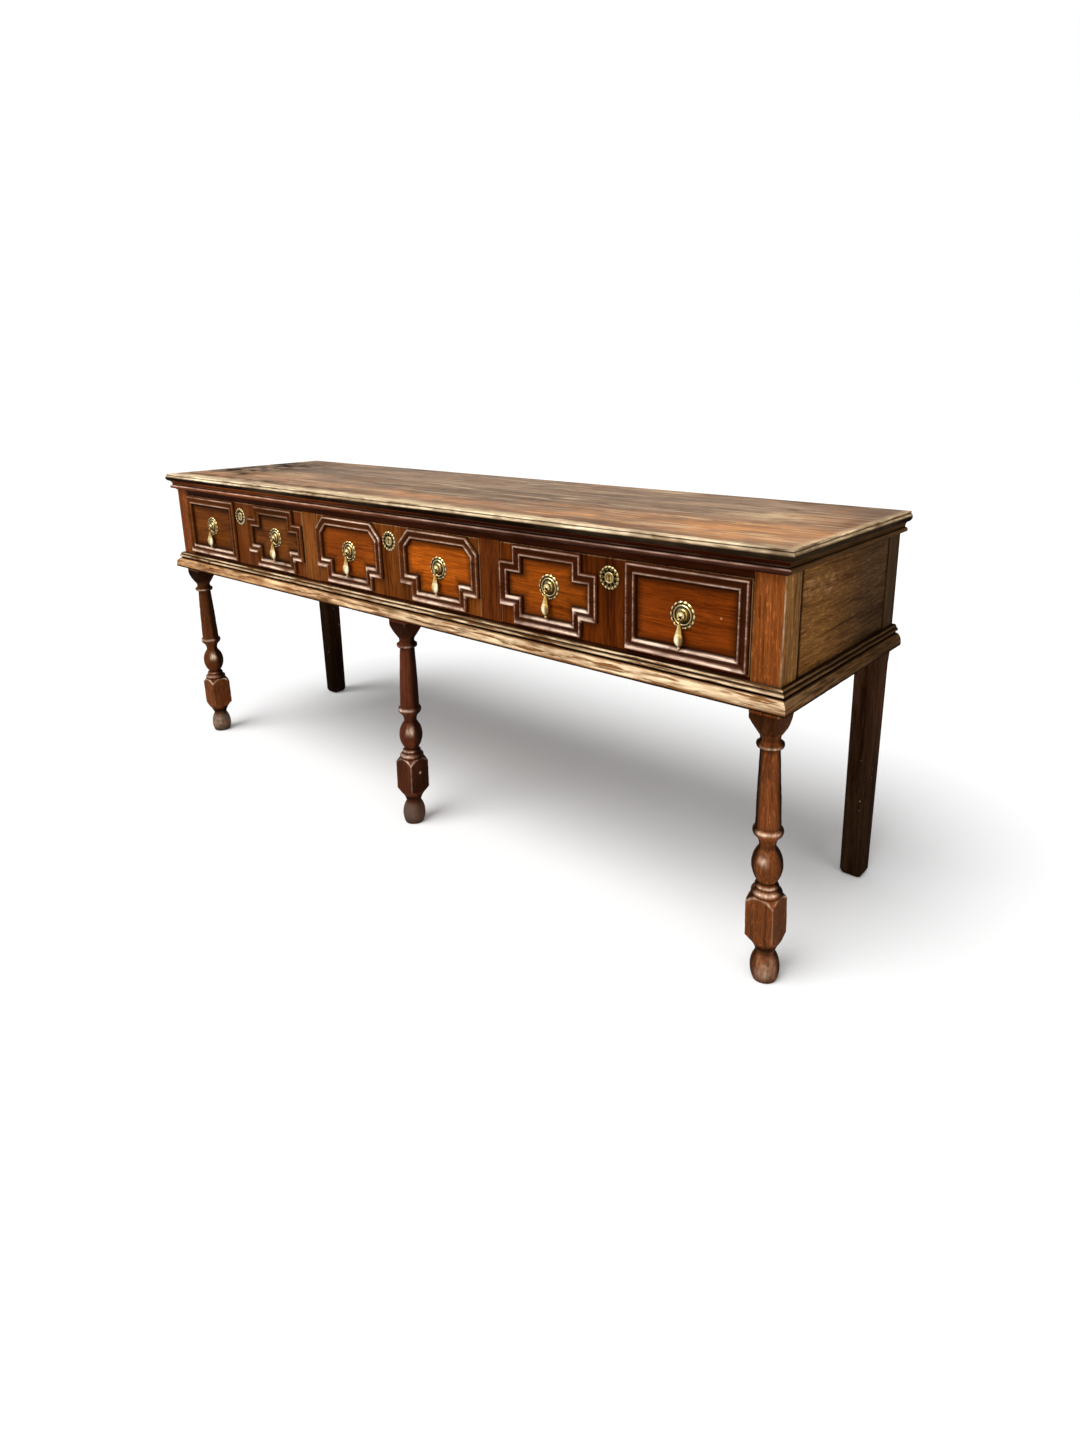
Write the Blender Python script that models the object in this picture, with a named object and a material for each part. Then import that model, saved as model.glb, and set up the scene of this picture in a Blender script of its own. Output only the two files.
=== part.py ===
"""Oak dresser base: three moulded drawers in a joined frame on turned legs.

Metres, +Z up. X runs along the length, the front looks towards -Y, and the origin is on the floor
under the middle of the object.
"""

import math

import bmesh
import bpy
from mathutils import Vector

# Overall size
LENGTH = 1.930
DEPTH = 0.497
HEIGHT = 0.776
GAP = 0.0003              # air between pieces that touch

# Carcase
OVERHANG = 0.0205         # top and base moulding beyond the carcase, on the front and the ends
TOP_THICKNESS = 0.019
CORNICE_HEIGHT = 0.025
CARCASE_BOTTOM = 0.510
BASE_MOULDING_HEIGHT = 0.0415
LEG_SIDE = 0.055
LEG_BLOCK_SIDE = 0.0540   # lower block of a front leg
BACK_LEG_SIDE = 0.051
LEAN_START = 0.499        # the legs are upright above this height
LEAN = {"left": (0.005, 0.001), "middle": (0.003, -0.014), "right": (0.016, -0.004)}
LEG_SEGMENTS = 16
RAIL_THICKNESS = 0.038
DIVIDER_THICKNESS = 0.030
BOTTOM_RAIL_THICKNESS = 0.045
END_PANEL_THICKNESS = 0.018
END_PANEL_RECESS = 0.003
BACK_BOARD_THICKNESS = 0.010
BACK_BOARD_RECESS = 0.002
RUNNER_HEIGHT = 0.025
RUNNER_LEDGE = 0.022      # how far a runner reaches under a drawer
GUIDE_HEIGHT = 0.025
LEDGE_DEPTH = 0.030       # strip along the back board that carries the runners

# Drawer openings and drawers
OPENING_BOTTOM = 0.555
OPENING_TOP = 0.721
CLEARANCE = 0.0015        # around a drawer front
FRONT_THICKNESS = 0.022
LAP = 0.010               # wood of the drawer front that covers the ends of the sides
SIDE_THICKNESS = 0.012
SIDE_TOP = 0.700
DRAWER_BACK_THICKNESS = 0.010
DRAWER_REAR = 0.206
BOTTOM_THICKNESS = 0.008
BOTTOM_LIFT = 0.004       # drawer bottom above the lower edge of the sides

# Applied frames on the drawer fronts, measured on the outer ridge of the moulding
FRAME_OFFSET = 0.1535     # middle of a frame from the middle of its drawer
FRAME_HALF_WIDTH = 0.1185
FRAME_HALF_HEIGHT = 0.075
FRAME_Z = 0.640
STEP_WIDTH = 0.037
STEP_HEIGHT = 0.0335
CANT = 0.030

# Brass and lock
HANDLE_Z = 0.643
HANDLE_SHIFT = {("right", "left"): (0.0045, 0.0030), ("right", "right"): (-0.0045, -0.0030)}  # off in x, z
PLATE_RADIUS = 0.0250
PLATE_THICKNESS = 0.0016
PLATE_LOBES = 14
BOSS_RADIUS = 0.0135
BOSS_HEIGHT = 0.0140
PIVOT_OUT = 0.0108        # drop pivot in front of the drawer face
PIVOT_DROP = 0.0060       # drop pivot below the middle of the plate
PIN_RADIUS = 0.0010
SLOT_WIDTH = 0.0042
EYE_THICKNESS = 0.0030
EYE_RADIUS = 0.0029
DROP_SEGMENTS = 12
KEYHOLE_X = -0.0065       # keyhole and lock from the middle of the drawer
ESCUTCHEON_Z = 0.683
ESCUTCHEON_RADIUS = 0.0220
ESCUTCHEON_LOBES = 12
LOCK_WIDTH = 0.062
LOCK_HEIGHT = 0.044
LOCK_THICKNESS = 0.0110
LOCK_TOP = 0.7165
BOLT_WIDTH = 0.022
BOLT_HEIGHT = 0.026
BOLT_THICKNESS = 0.0050
BOLT_TRAVEL = 0.010

# Places worked out from the sizes above
HALF_WIDTH = LENGTH / 2 - OVERHANG
FACE_Y = -DEPTH / 2 + OVERHANG
REAR_Y = DEPTH / 2
TOP_UNDERSIDE = HEIGHT - TOP_THICKNESS
CORNICE_BOTTOM = TOP_UNDERSIDE - CORNICE_HEIGHT
STILE_INNER = HALF_WIDTH - LEG_SIDE
OPENING_WIDTH = (2 * STILE_INNER - 2 * LEG_SIDE) / 3
DRAWER_PITCH = OPENING_WIDTH + LEG_SIDE
DIVIDER_X = DRAWER_PITCH / 2
FRONT_HALF = OPENING_WIDTH / 2 - CLEARANCE
FRONT_BACK_Y = FACE_Y + FRONT_THICKNESS
LEG_AXIS_Y = FACE_Y + LEG_SIDE / 2
SIDE_INNER = FRONT_HALF - SIDE_THICKNESS
SIDE_BOTTOM = OPENING_BOTTOM + GAP
BACK_LEG_FRONT = REAR_Y - BACK_LEG_SIDE
RUNNER_BOTTOM = OPENING_BOTTOM - RUNNER_HEIGHT
LOCK_BACK_Y = FRONT_BACK_Y + GAP + LOCK_THICKNESS
BOLT_Y = FRONT_BACK_Y + GAP + LOCK_THICKNESS / 2
DRAWERS = {"left": -DRAWER_PITCH, "middle": 0.0, "right": DRAWER_PITCH}
SIDES = {"left": -1, "right": 1}


def clear_scene():
    for old in list(bpy.data.objects):
        bpy.data.objects.remove(old, do_unlink=True)


def material(name, colour, roughness, metallic=0.0):
    made = bpy.data.materials.new(name)
    made.use_nodes = True
    shader = made.node_tree.nodes["Principled BSDF"]
    shader.inputs["Base Color"].default_value = (*colour, 1.0)
    shader.inputs["Roughness"].default_value = roughness
    shader.inputs["Metallic"].default_value = metallic
    return made


def add_object(name, mesh, finish=None, parent=None, location=(0, 0, 0)):
    """Link a mesh under its node's name; location is relative to the parent."""
    made = bpy.data.objects.new(name, mesh)
    bpy.context.scene.collection.objects.link(made)
    made.parent = parent
    made.location = location
    if finish and not mesh.materials:
        mesh.materials.append(finish)
    return made


def finish_mesh(name, shape, smooth=False):
    """Turn a bmesh into a mesh whose faces point out."""
    bmesh.ops.recalc_face_normals(shape, faces=shape.faces)
    mesh = bpy.data.meshes.new(name)
    shape.to_mesh(mesh)
    shape.free()
    if smooth:
        mesh.shade_smooth()
        mesh.set_sharp_from_angle(angle=math.radians(35))
    return mesh


def hidden_cutter(name, mesh, location=(0, 0, 0)):
    cutter = add_object(name, mesh, location=location)
    cutter.hide_render = True
    cutter.display_type = "WIRE"
    return cutter


def cut(target, cutter, operation):
    step = target.modifiers.new(cutter.name, "BOOLEAN")
    step.operation = operation
    step.solver = "EXACT"
    step.object = cutter


def evaluated_mesh(name, target):
    """The mesh an object has once its modifiers have run."""
    graph = bpy.context.evaluated_depsgraph_get()
    mesh = bpy.data.meshes.new_from_object(target.evaluated_get(graph))
    mesh.name = name
    return mesh


def bow(start, end, rise, steps):
    """Points of an arc from start to end whose middle stands `rise` off the chord.

    A positive rise is to the left of the way from start to end, which is outwards on a profile
    that runs from top to bottom.
    """
    start = Vector(start)
    chord = Vector(end) - start
    half = chord.length / 2
    along = chord.normalized()
    off = Vector((-along.y, along.x))
    turn = 2 * math.atan2(rise, half)
    radius = half / math.sin(turn)
    points = []
    for index in range(steps + 1):
        angle = turn * (2 * index / steps - 1)
        reach = half + radius * math.sin(angle)
        height = radius * (math.cos(angle) - math.cos(turn))
        points.append(tuple(start + along * reach + off * height))
    return points


def bridge(shape, loops, closed=True, capped=True):
    """Join rings of vertices one to the next, with a cap on each end."""
    count = len(loops[0])
    spans = count if closed else count - 1
    for lower, upper in zip(loops, loops[1:]):
        for index in range(spans):
            after = (index + 1) % count
            shape.faces.new((lower[index], lower[after], upper[after], upper[index]))
    if capped:
        shape.faces.new(loops[0][::-1])
        shape.faces.new(loops[-1])


def prism(name, profile, place, start, end):
    """Sweep a closed profile in a straight line.

    place(u, v, t) sets a profile point at t along the line. start(u) and end(u) say where the two
    ends are at a profile point, so a mitre is an end that changes with u.
    """
    shape = bmesh.new()
    near = [shape.verts.new(place(u, v, start(u))) for u, v in profile]
    far = [shape.verts.new(place(u, v, end(u))) for u, v in profile]
    bridge(shape, [near, far])
    return finish_mesh(name, shape)


def turned(name, profile, steps, axis_place):
    """Revolve a (radius, height) profile; axis_place(x, y, h) sets a point of it."""
    shape = bmesh.new()
    loops = []
    for radius, height in profile:
        loop = []
        for index in range(steps):
            angle = 2 * math.pi * index / steps
            point = axis_place(radius * math.cos(angle), radius * math.sin(angle), height)
            loop.append(shape.verts.new(point))
        loops.append(loop)
    bridge(shape, loops)
    return finish_mesh(name, shape, smooth=True)


def joinery(name, add, remove=()):
    """A squared piece of timber: all the `add` boxes less all the `remove` boxes.

    A box is ((x0, x1), (y0, y1), (z0, z1)). The boxes' planes cut space into cells, and the faces
    between filled and empty cells make the surface.
    """
    boxes = list(add) + list(remove)
    planes = [sorted({value for box in boxes for value in box[axis]}) for axis in range(3)]

    def within(box, point):
        return all(box[axis][0] < point[axis] < box[axis][1] for axis in range(3))

    def filled(cell):
        if any(cell[axis] < 0 or cell[axis] > len(planes[axis]) - 2 for axis in range(3)):
            return False
        middle = [(planes[axis][cell[axis]] + planes[axis][cell[axis] + 1]) / 2 for axis in range(3)]
        return any(within(box, middle) for box in add) and not any(within(box, middle) for box in remove)

    shape = bmesh.new()
    corners = {}

    def corner(key):
        if key not in corners:
            corners[key] = shape.verts.new([planes[axis][key[axis]] for axis in range(3)])
        return corners[key]

    cells = [(i, j, k) for i in range(len(planes[0]) - 1) for j in range(len(planes[1]) - 1)
             for k in range(len(planes[2]) - 1)]
    for cell in filter(filled, cells):
        for axis in range(3):
            for side in (0, 1):
                neighbour = list(cell)
                neighbour[axis] += 2 * side - 1
                if filled(neighbour):
                    continue
                across, along = [other for other in range(3) if other != axis]
                ring = []
                for step_across, step_along in ((0, 0), (1, 0), (1, 1), (0, 1)):
                    key = list(cell)
                    key[axis] += side
                    key[across] += step_across
                    key[along] += step_along
                    ring.append(corner(tuple(key)))
                shape.faces.new(ring)
    return finish_mesh(name, shape)


def top_edge():
    """Edge of the top, from the upper surface down: a thumb, a quirk and a wide lower roll."""
    thumb = bow((OVERHANG - 0.0056, HEIGHT), (OVERHANG - 0.0026, HEIGHT - 0.0028), 0.0008, 3)
    quirk = [(OVERHANG - 0.0040, HEIGHT - 0.0036)]
    roll = bow((OVERHANG - 0.0028, HEIGHT - 0.0046), (OVERHANG - 0.0028, HEIGHT - 0.0174), 0.0028, 6)
    return thumb + quirk + roll + [(OVERHANG - 0.0040, TOP_UNDERSIDE)]


def cornice_profile(back):
    """Cornice from top to bottom: cove, fillet, bead and a small cove back to the frame."""
    top = TOP_UNDERSIDE - GAP
    cove = bow((0.0150, top), (0.0080, CORNICE_BOTTOM + 0.0155), -0.0018, 4)
    fillet = [(0.0080, CORNICE_BOTTOM + 0.0128)]
    bead = bow((0.0090, CORNICE_BOTTOM + 0.0128), (0.0090, CORNICE_BOTTOM + 0.0036), 0.0042, 6)
    tail = bow((0.0070, CORNICE_BOTTOM + 0.0036), (0.0020, CORNICE_BOTTOM), -0.0010, 3)
    return [(back, top)] + cove + fillet + bead + tail + [(back, CORNICE_BOTTOM)]


def base_profile(back):
    """Base moulding from top to bottom: two beads, a deep groove and a broad ovolo with a nose."""
    top = CARCASE_BOTTOM + BASE_MOULDING_HEIGHT
    upper = bow((0.0040, top), (0.0090, top - 0.0052), 0.0016, 4)
    bead = bow((0.0082, top - 0.0062), (0.0082, top - 0.0138), 0.0042, 6)
    groove = [(0.0082, top - 0.0168)]
    ovolo = bow((0.0120, top - 0.0176), (OVERHANG - 0.0008, top - 0.0330), 0.0022, 5)
    nose = bow((OVERHANG - 0.0004, top - 0.0344), (OVERHANG - 0.0016, CARCASE_BOTTOM), 0.0006, 3)
    return [(back, top)] + upper + bead + groove + ovolo + nose + [(back, CARCASE_BOTTOM)]


def front_run(name, profile):
    """A front moulding: its ends are mitred, so they move out with the profile."""
    return prism(name, profile, lambda u, v, t: (t, FACE_Y - u, v),
                 lambda u: -(HALF_WIDTH + u - GAP), lambda u: HALF_WIDTH + u - GAP)


def end_run(name, profile, side):
    """An end moulding: mitred at the front, cut square at the back."""
    return prism(name, profile, lambda u, v, t: (side * (HALF_WIDTH + u), t, v),
                 lambda u: FACE_Y - u + GAP, lambda u: REAR_Y)


def top_board_mesh():
    """The top: one outline for each point of its edge, straight along the back."""
    shape = bmesh.new()
    loops = []
    for out, height in top_edge():
        side = HALF_WIDTH + out
        front = FACE_Y - out
        outline = ((-side, front), (side, front), (side, REAR_Y), (-side, REAR_Y))
        loops.append([shape.verts.new((x, y, height)) for x, y in outline])
    bridge(shape, loops)
    return finish_mesh("top_board", shape)


def leg_profile():
    """Turned shape of a front leg from top to bottom; where it is wider than the square, the square stays."""
    corner = LEG_SIDE * 0.78
    square = [(corner, HEIGHT), (corner, LEAN_START)]
    cup = bow((0.0420, 0.4965), (0.0182, 0.4570), 0.0010, 3)
    neck = [(0.0174, 0.4535)]
    flange_hollow = bow((0.0172, 0.4515), (0.0216, 0.4448), -0.0010, 2)
    flange = bow((0.0230, 0.4440), (0.0226, 0.4368), 0.0008, 2)
    column = bow((0.0168, 0.4350), (0.0222, 0.2915), 0.0006, 3)
    ring = bow((0.0252, 0.2900), (0.0240, 0.2775), 0.0020, 3)
    ring_hollow = bow((0.0226, 0.2760), (0.0152, 0.2625), -0.0014, 2)
    waist = [(0.0147, 0.2590)]
    bulb = bow((0.0156, 0.2545), (0.0158, 0.1895), 0.0116, 7)
    small_collar = bow((0.0172, 0.1870), (0.0200, 0.1785), 0.0026, 3)
    large_collar = bow((0.0222, 0.1765), (0.0258, 0.1655), 0.0034, 3)
    block = [(0.0285, 0.1645), (corner, 0.1485), (corner, 0.0925)]
    shoulder = bow((0.0420, 0.0910), (0.0172, 0.0560), -0.0040, 3)
    foot = bow((0.0170, 0.0545), (0.0212, 0.0), 0.0070, 6)
    return (square + cup + neck + flange_hollow + flange + column + ring + ring_hollow + waist + bulb
            + small_collar + large_collar + block + shoulder + foot)


def front_leg(name, x, top, lean, finish):
    """A leg turned from a square length: what the square and the turning share.

    lean is how far age has moved the foot out of plumb; the stile above the leg is upright.
    """
    def place(a, b, h):
        share = max(0.0, 1 - h / LEAN_START)
        return (a + lean[0] * share, b + lean[1] * share, h)

    below_floor = -0.010
    clear_of_rings = 0.034
    sections = [(top, LEG_SIDE / 2), (LEAN_START, LEG_SIDE / 2), (0.460, LEG_SIDE / 2),
                (0.455, clear_of_rings), (0.1660, clear_of_rings), (0.1640, LEG_BLOCK_SIDE / 2),
                (below_floor, LEG_BLOCK_SIDE / 2)]
    shape = bmesh.new()
    loops = []
    for height, half in sections:
        outline = ((-half, -half), (half, -half), (half, half), (-half, half))
        loops.append([shape.verts.new(place(a, b, height)) for a, b in outline])
    bridge(shape, loops)
    leg = add_object(name, finish_mesh(name, shape), finish, location=(x, LEG_AXIS_Y, 0))
    turning = turned(name + "_turning", leg_profile(), LEG_SEGMENTS, place)
    cut(leg, hidden_cutter(name + "_turning", turning, (x, LEG_AXIS_Y, 0)), "INTERSECT")


def back_leg(name, side, finish):
    """A plain square leg, tapered a little below the carcase, with its arrises taken off."""
    half = BACK_LEG_SIDE / 2
    sections = [(0.0, half - 0.0090, 0.0050), (0.0030, half - 0.0050, 0.0044),
                (0.0100, half - 0.0025, 0.0036),
                (CARCASE_BOTTOM - 0.040, half - 0.0004, 0.0036), (CARCASE_BOTTOM - 0.022, half, 0.0006),
                (TOP_UNDERSIDE - GAP, half, 0.0006)]
    shape = bmesh.new()
    loops = []
    for height, reach, chamfer in sections:
        inner = reach - chamfer
        outline = ((-inner, -reach), (inner, -reach), (reach, -inner), (reach, inner),
                   (inner, reach), (-inner, reach), (-reach, inner), (-reach, -inner))
        loops.append([shape.verts.new((x, y, height)) for x, y in outline])
    bridge(shape, loops)
    place = (side * (HALF_WIDTH - half), REAR_Y - half, 0)
    add_object(name, finish_mesh(name, shape), finish, location=place)


def front_top_rail(finish):
    """Rail over the drawers, with the front cornice worked on its face and mortises for the bolts."""
    proud = 0.0008
    side = STILE_INNER - GAP
    rail = ((-side, side), (FACE_Y - proud, FACE_Y + RAIL_THICKNESS), (OPENING_TOP, TOP_UNDERSIDE - 0.001))
    room = 0.0015
    mortises = []
    for middle in DRAWERS.values():
        bolt_x = middle + KEYHOLE_X
        reach = BOLT_WIDTH / 2 + room
        thick = BOLT_THICKNESS / 2 + room
        mortises.append(((bolt_x - reach, bolt_x + reach), (BOLT_Y - thick, BOLT_Y + thick),
                         (OPENING_TOP - room, LOCK_TOP + BOLT_TRAVEL + room)))
    made = add_object("front_top_rail", joinery("front_top_rail", [rail], mortises), finish)
    cornice = front_run("front_cornice", cornice_profile(GAP))
    cut(made, hidden_cutter("front_cornice", cornice), "UNION")


def front_bottom_rail(finish):
    side = STILE_INNER - GAP
    rear = FACE_Y + BOTTOM_RAIL_THICKNESS
    board = ((-side, side), (FACE_Y, rear), (CARCASE_BOTTOM, OPENING_BOTTOM))
    seat = ((-side - GAP, side + GAP), (FACE_Y + DIVIDER_THICKNESS, rear + GAP),
            (RUNNER_BOTTOM, OPENING_BOTTOM + GAP))
    add_object("front_bottom_rail", joinery("front_bottom_rail", [board], [seat]), finish)


def end_panel(name, side, finish):
    """End board with the end runner and guide fixed along its inner face."""
    outer = HALF_WIDTH - END_PANEL_RECESS
    inner = outer - END_PANEL_THICKNESS
    ledge = STILE_INNER - CLEARANCE - RUNNER_LEDGE
    top = TOP_UNDERSIDE - GAP
    runner_top = OPENING_BOTTOM
    guide_top = OPENING_BOTTOM + GUIDE_HEIGHT
    section = [(outer, CARCASE_BOTTOM), (outer, top), (inner, top), (inner, guide_top),
               (STILE_INNER, guide_top), (STILE_INNER, runner_top), (ledge, runner_top),
               (ledge, RUNNER_BOTTOM + GAP), (inner, RUNNER_BOTTOM + GAP), (inner, CARCASE_BOTTOM)]
    mesh = prism(name, section, lambda u, v, t: (side * u, t, v),
                 lambda u: FACE_Y + LEG_SIDE + GAP, lambda u: BACK_LEG_FRONT - GAP)
    add_object(name, mesh, finish)


def drawer_divider(name, x, finish):
    """Upright between two drawers, with the shared runner and guide behind it."""
    half = LEG_SIDE / 2
    guide = half - 0.001
    ledge = half + CLEARANCE + RUNNER_LEDGE
    rear = REAR_Y - BACK_BOARD_RECESS - BACK_BOARD_THICKNESS - GAP
    behind = FACE_Y + DIVIDER_THICKNESS
    upright = ((x - half, x + half), (FACE_Y, behind), (OPENING_BOTTOM + GAP, OPENING_TOP - GAP))
    runner = ((x - ledge, x + ledge), (behind + GAP, rear), (RUNNER_BOTTOM + GAP, OPENING_BOTTOM))
    web = ((x - guide, x + guide), (behind, rear), (OPENING_BOTTOM + GAP, OPENING_BOTTOM + GUIDE_HEIGHT))
    joint = ((x - guide, x + guide), (behind + GAP, rear), (OPENING_BOTTOM, OPENING_BOTTOM + GAP))
    add_object(name, joinery(name, [upright, runner, web, joint]), finish)


def back_panel(finish):
    """Back board with the ledge strip that carries the runners' rear ends."""
    rear = REAR_Y - BACK_BOARD_RECESS
    front = rear - BACK_BOARD_THICKNESS
    side = HALF_WIDTH - BACK_LEG_SIDE - GAP
    board = ((-side, side), (front, rear), (CARCASE_BOTTOM, TOP_UNDERSIDE - GAP))
    ledge = ((-side, side), (front - LEDGE_DEPTH, front), (CARCASE_BOTTOM, RUNNER_BOTTOM))
    add_object("back_panel", joinery("back_panel", [board, ledge]), finish)


def carcase(finishes):
    add_object("top_board", top_board_mesh(), finishes["top"])
    front_top_rail(finishes["moulding"])
    front_bottom_rail(finishes["frame"])
    back_panel(finishes["inside"])
    add_object("base_moulding_front", front_run("base_moulding_front", base_profile(GAP)), finishes["worn"])
    front_leg("front_leg_middle", 0.0, CARCASE_BOTTOM - GAP, LEAN["middle"], finishes["frame"])
    for word, side in SIDES.items():
        cornice = end_run("cornice_moulding_" + word, cornice_profile(GAP), side)
        add_object("cornice_moulding_" + word, cornice, finishes["moulding"])
        base = end_run("base_moulding_" + word, base_profile(GAP), side)
        add_object("base_moulding_" + word, base, finishes["worn"])
        front_leg("front_leg_" + word, side * (HALF_WIDTH - LEG_SIDE / 2), TOP_UNDERSIDE - GAP,
                  LEAN[word], finishes["frame"])
        back_leg("back_leg_" + word, side, finishes["dark"])
        end_panel("end_panel_" + word, side, finishes["end"])
        drawer_divider("drawer_divider_" + word, side * DIVIDER_X, finishes["frame"])


def frame_outline(corners):
    """Outline of an applied frame, anticlockwise seen from the front, from its lower left corner.

    corners names the shape of the lower left, lower right, upper right and upper left corner.
    """
    shapes = {"square": [(0, 0)],
              "step": [(0, STEP_HEIGHT), (STEP_WIDTH, STEP_HEIGHT), (STEP_WIDTH, 0)],
              "cant": [(0, CANT), (CANT, 0)]}
    signs = [(-1, -1), (1, -1), (1, 1), (-1, 1)]
    outline = []
    for index, ((sign_x, sign_z), kind) in enumerate(zip(signs, corners)):
        points = [(sign_x * (FRAME_HALF_WIDTH - x), sign_z * (FRAME_HALF_HEIGHT - z))
                  for x, z in shapes[kind]]
        outline += points if index % 2 == 0 else points[::-1]
    return outline


def frame_profile():
    """Section of a frame moulding as (inwards from the outer ridge, out of the drawer face)."""
    outer = bow((-0.0036, 0.0042), (0.0034, 0.0062), 0.0030, 3)
    hollow = bow((0.0042, 0.0048), (0.0112, 0.0040), -0.0010, 2)
    inner = bow((0.0116, 0.0052), (0.0176, 0.0042), 0.0026, 3)
    return [(-0.0036, GAP)] + outer + hollow + inner + [(0.0190, GAP)]


def frame_moulding(name, corners):
    """Sweep the section round the outline with mitred corners."""
    outline = [Vector(point) for point in frame_outline(corners)]
    count = len(outline)
    shape = bmesh.new()
    loops = []
    for index, point in enumerate(outline):
        before = (point - outline[index - 1]).normalized()
        after = (outline[(index + 1) % count] - point).normalized()
        inward_before = Vector((-before.y, before.x))
        inward_after = Vector((-after.y, after.x))
        mitre = (inward_before + inward_after) / (1 + inward_before.dot(inward_after))
        loop = []
        for inwards, out in frame_profile():
            place = point + mitre * inwards
            loop.append(shape.verts.new((place.x, -out, place.y)))
        loops.append(loop)
    bridge(shape, loops + loops[:1], capped=False)
    return finish_mesh(name, shape)


def plate_mesh():
    """Scalloped plate with a domed boss, slotted for the drop's eye, and the pin across the slot."""
    dome = [(BOSS_RADIUS * math.cos(angle), PLATE_THICKNESS + BOSS_HEIGHT * math.sin(angle))
            for angle in (math.radians(degrees) for degrees in (0, 30, 60, 80))]
    rings = [(PLATE_RADIUS, GAP), (PLATE_RADIUS, PLATE_THICKNESS),
             (PLATE_RADIUS * 0.80, PLATE_THICKNESS + 0.0008), (PLATE_RADIUS * 0.62, PLATE_THICKNESS)] + dome
    steps = PLATE_LOBES * 2
    scallop = 0.0016
    shape = bmesh.new()
    loops = []
    for order, (radius, out) in enumerate(rings):
        loop = []
        for index in range(steps):
            angle = 2 * math.pi * index / steps
            reach = radius - (scallop if order < 2 and index % 2 else 0)
            loop.append(shape.verts.new((reach * math.cos(angle), -out, reach * math.sin(angle))))
        loops.append(loop)
    bridge(shape, loops)
    plate = add_object("plate_blank", finish_mesh("plate_blank", shape))
    half = SLOT_WIDTH / 2
    slot_back = 0.0050
    slot = joinery("slot", [((-half, half), (-0.030, -slot_back), (-0.030, -PIVOT_DROP + 0.0050))])
    cut(plate, hidden_cutter("slot", slot), "DIFFERENCE")
    reach = half + 0.0016
    pin = turned("pin", [(PIN_RADIUS, reach), (PIN_RADIUS, -reach)], 10, lambda a, b, h: (h, a, b))
    cut(plate, hidden_cutter("pin", pin, (0, -PIVOT_OUT, -PIVOT_DROP)), "UNION")
    mesh = evaluated_mesh("handle_plate", plate)
    for done in ("plate_blank", "slot", "pin"):
        bpy.data.objects.remove(bpy.data.objects[done], do_unlink=True)
    return mesh


def drop_mesh():
    """Pear drop with a ball tip, a short stem and an eye round the plate's pin; origin on the pivot."""
    stem = [(0.0015, -0.0020), (0.0015, -0.0075)]
    neck = bow((0.0032, -0.0085), (0.0064, -0.0205), -0.0003, 2)
    pear = bow((0.0070, -0.0230), (0.0050, -0.0455), 0.0035, 6)
    tip = bow((0.0022, -0.0475), (0.0014, -0.0540), 0.0015, 3)
    drop = add_object("drop_blank", turned("drop_blank", stem + neck + pear + tip, DROP_SEGMENTS,
                                           lambda a, b, h: (a, b, h)))
    half = EYE_THICKNESS / 2
    ring = turned("eye", [(EYE_RADIUS, half), (EYE_RADIUS, -half)], DROP_SEGMENTS, lambda a, b, h: (h, a, b))
    cut(drop, hidden_cutter("eye", ring), "UNION")
    hole = turned("eye_hole", [(PIN_RADIUS + 0.0004, 2 * half), (PIN_RADIUS + 0.0004, -2 * half)], 10,
                  lambda a, b, h: (h, a, b))
    cut(drop, hidden_cutter("eye_hole", hole), "DIFFERENCE")
    mesh = evaluated_mesh("handle_drop", drop)
    for done in ("drop_blank", "eye", "eye_hole"):
        bpy.data.objects.remove(bpy.data.objects[done], do_unlink=True)
    return mesh


def escutcheon_mesh():
    """Round pierced plate with a scalloped rim and a keyhole."""
    steps = ESCUTCHEON_LOBES * 2
    scallop = 0.0014
    rings = [(ESCUTCHEON_RADIUS, GAP), (ESCUTCHEON_RADIUS, 0.0012), (ESCUTCHEON_RADIUS * 0.82, 0.0022),
             (ESCUTCHEON_RADIUS * 0.50, 0.0020)]
    shape = bmesh.new()
    loops = []
    for order, (radius, out) in enumerate(rings):
        loop = []
        for index in range(steps):
            angle = 2 * math.pi * index / steps
            reach = radius - (scallop if order < 2 and index % 2 else 0)
            loop.append(shape.verts.new((reach * math.cos(angle), -out, reach * math.sin(angle))))
        loops.append(loop)
    bridge(shape, loops)
    plate = add_object("escutcheon_blank", finish_mesh("escutcheon_blank", shape))
    done = ["escutcheon_blank"]

    def pierce(name, width, height, x, z):
        """Cut a round-ended upright hole."""
        rise = height / 2 - width / 2
        upper = [(width / 2 * math.cos(a), rise + width / 2 * math.sin(a))
                 for a in (math.radians(d) for d in range(0, 181, 60))]
        outline = upper + [(-u, -v) for u, v in upper]
        deep = prism(name, outline, lambda u, v, t: (x + u, t, z + v), lambda u: 0.010, lambda u: -0.010)
        cut(plate, hidden_cutter(name, deep), "DIFFERENCE")
        done.append(name)

    pierce("keyhole", 0.0034, 0.0130, 0.0, -0.0010)
    holes = 6
    for index in range(holes):
        angle = 2 * math.pi * (index + 0.5) / holes
        ring_radius = ESCUTCHEON_RADIUS * 0.66
        pierce(f"hole_{index}", 0.0036, 0.0052, ring_radius * math.cos(angle), ring_radius * math.sin(angle))
    mesh = evaluated_mesh("escutcheon", plate)
    for name in done:
        bpy.data.objects.remove(bpy.data.objects[name], do_unlink=True)
    return mesh


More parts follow.
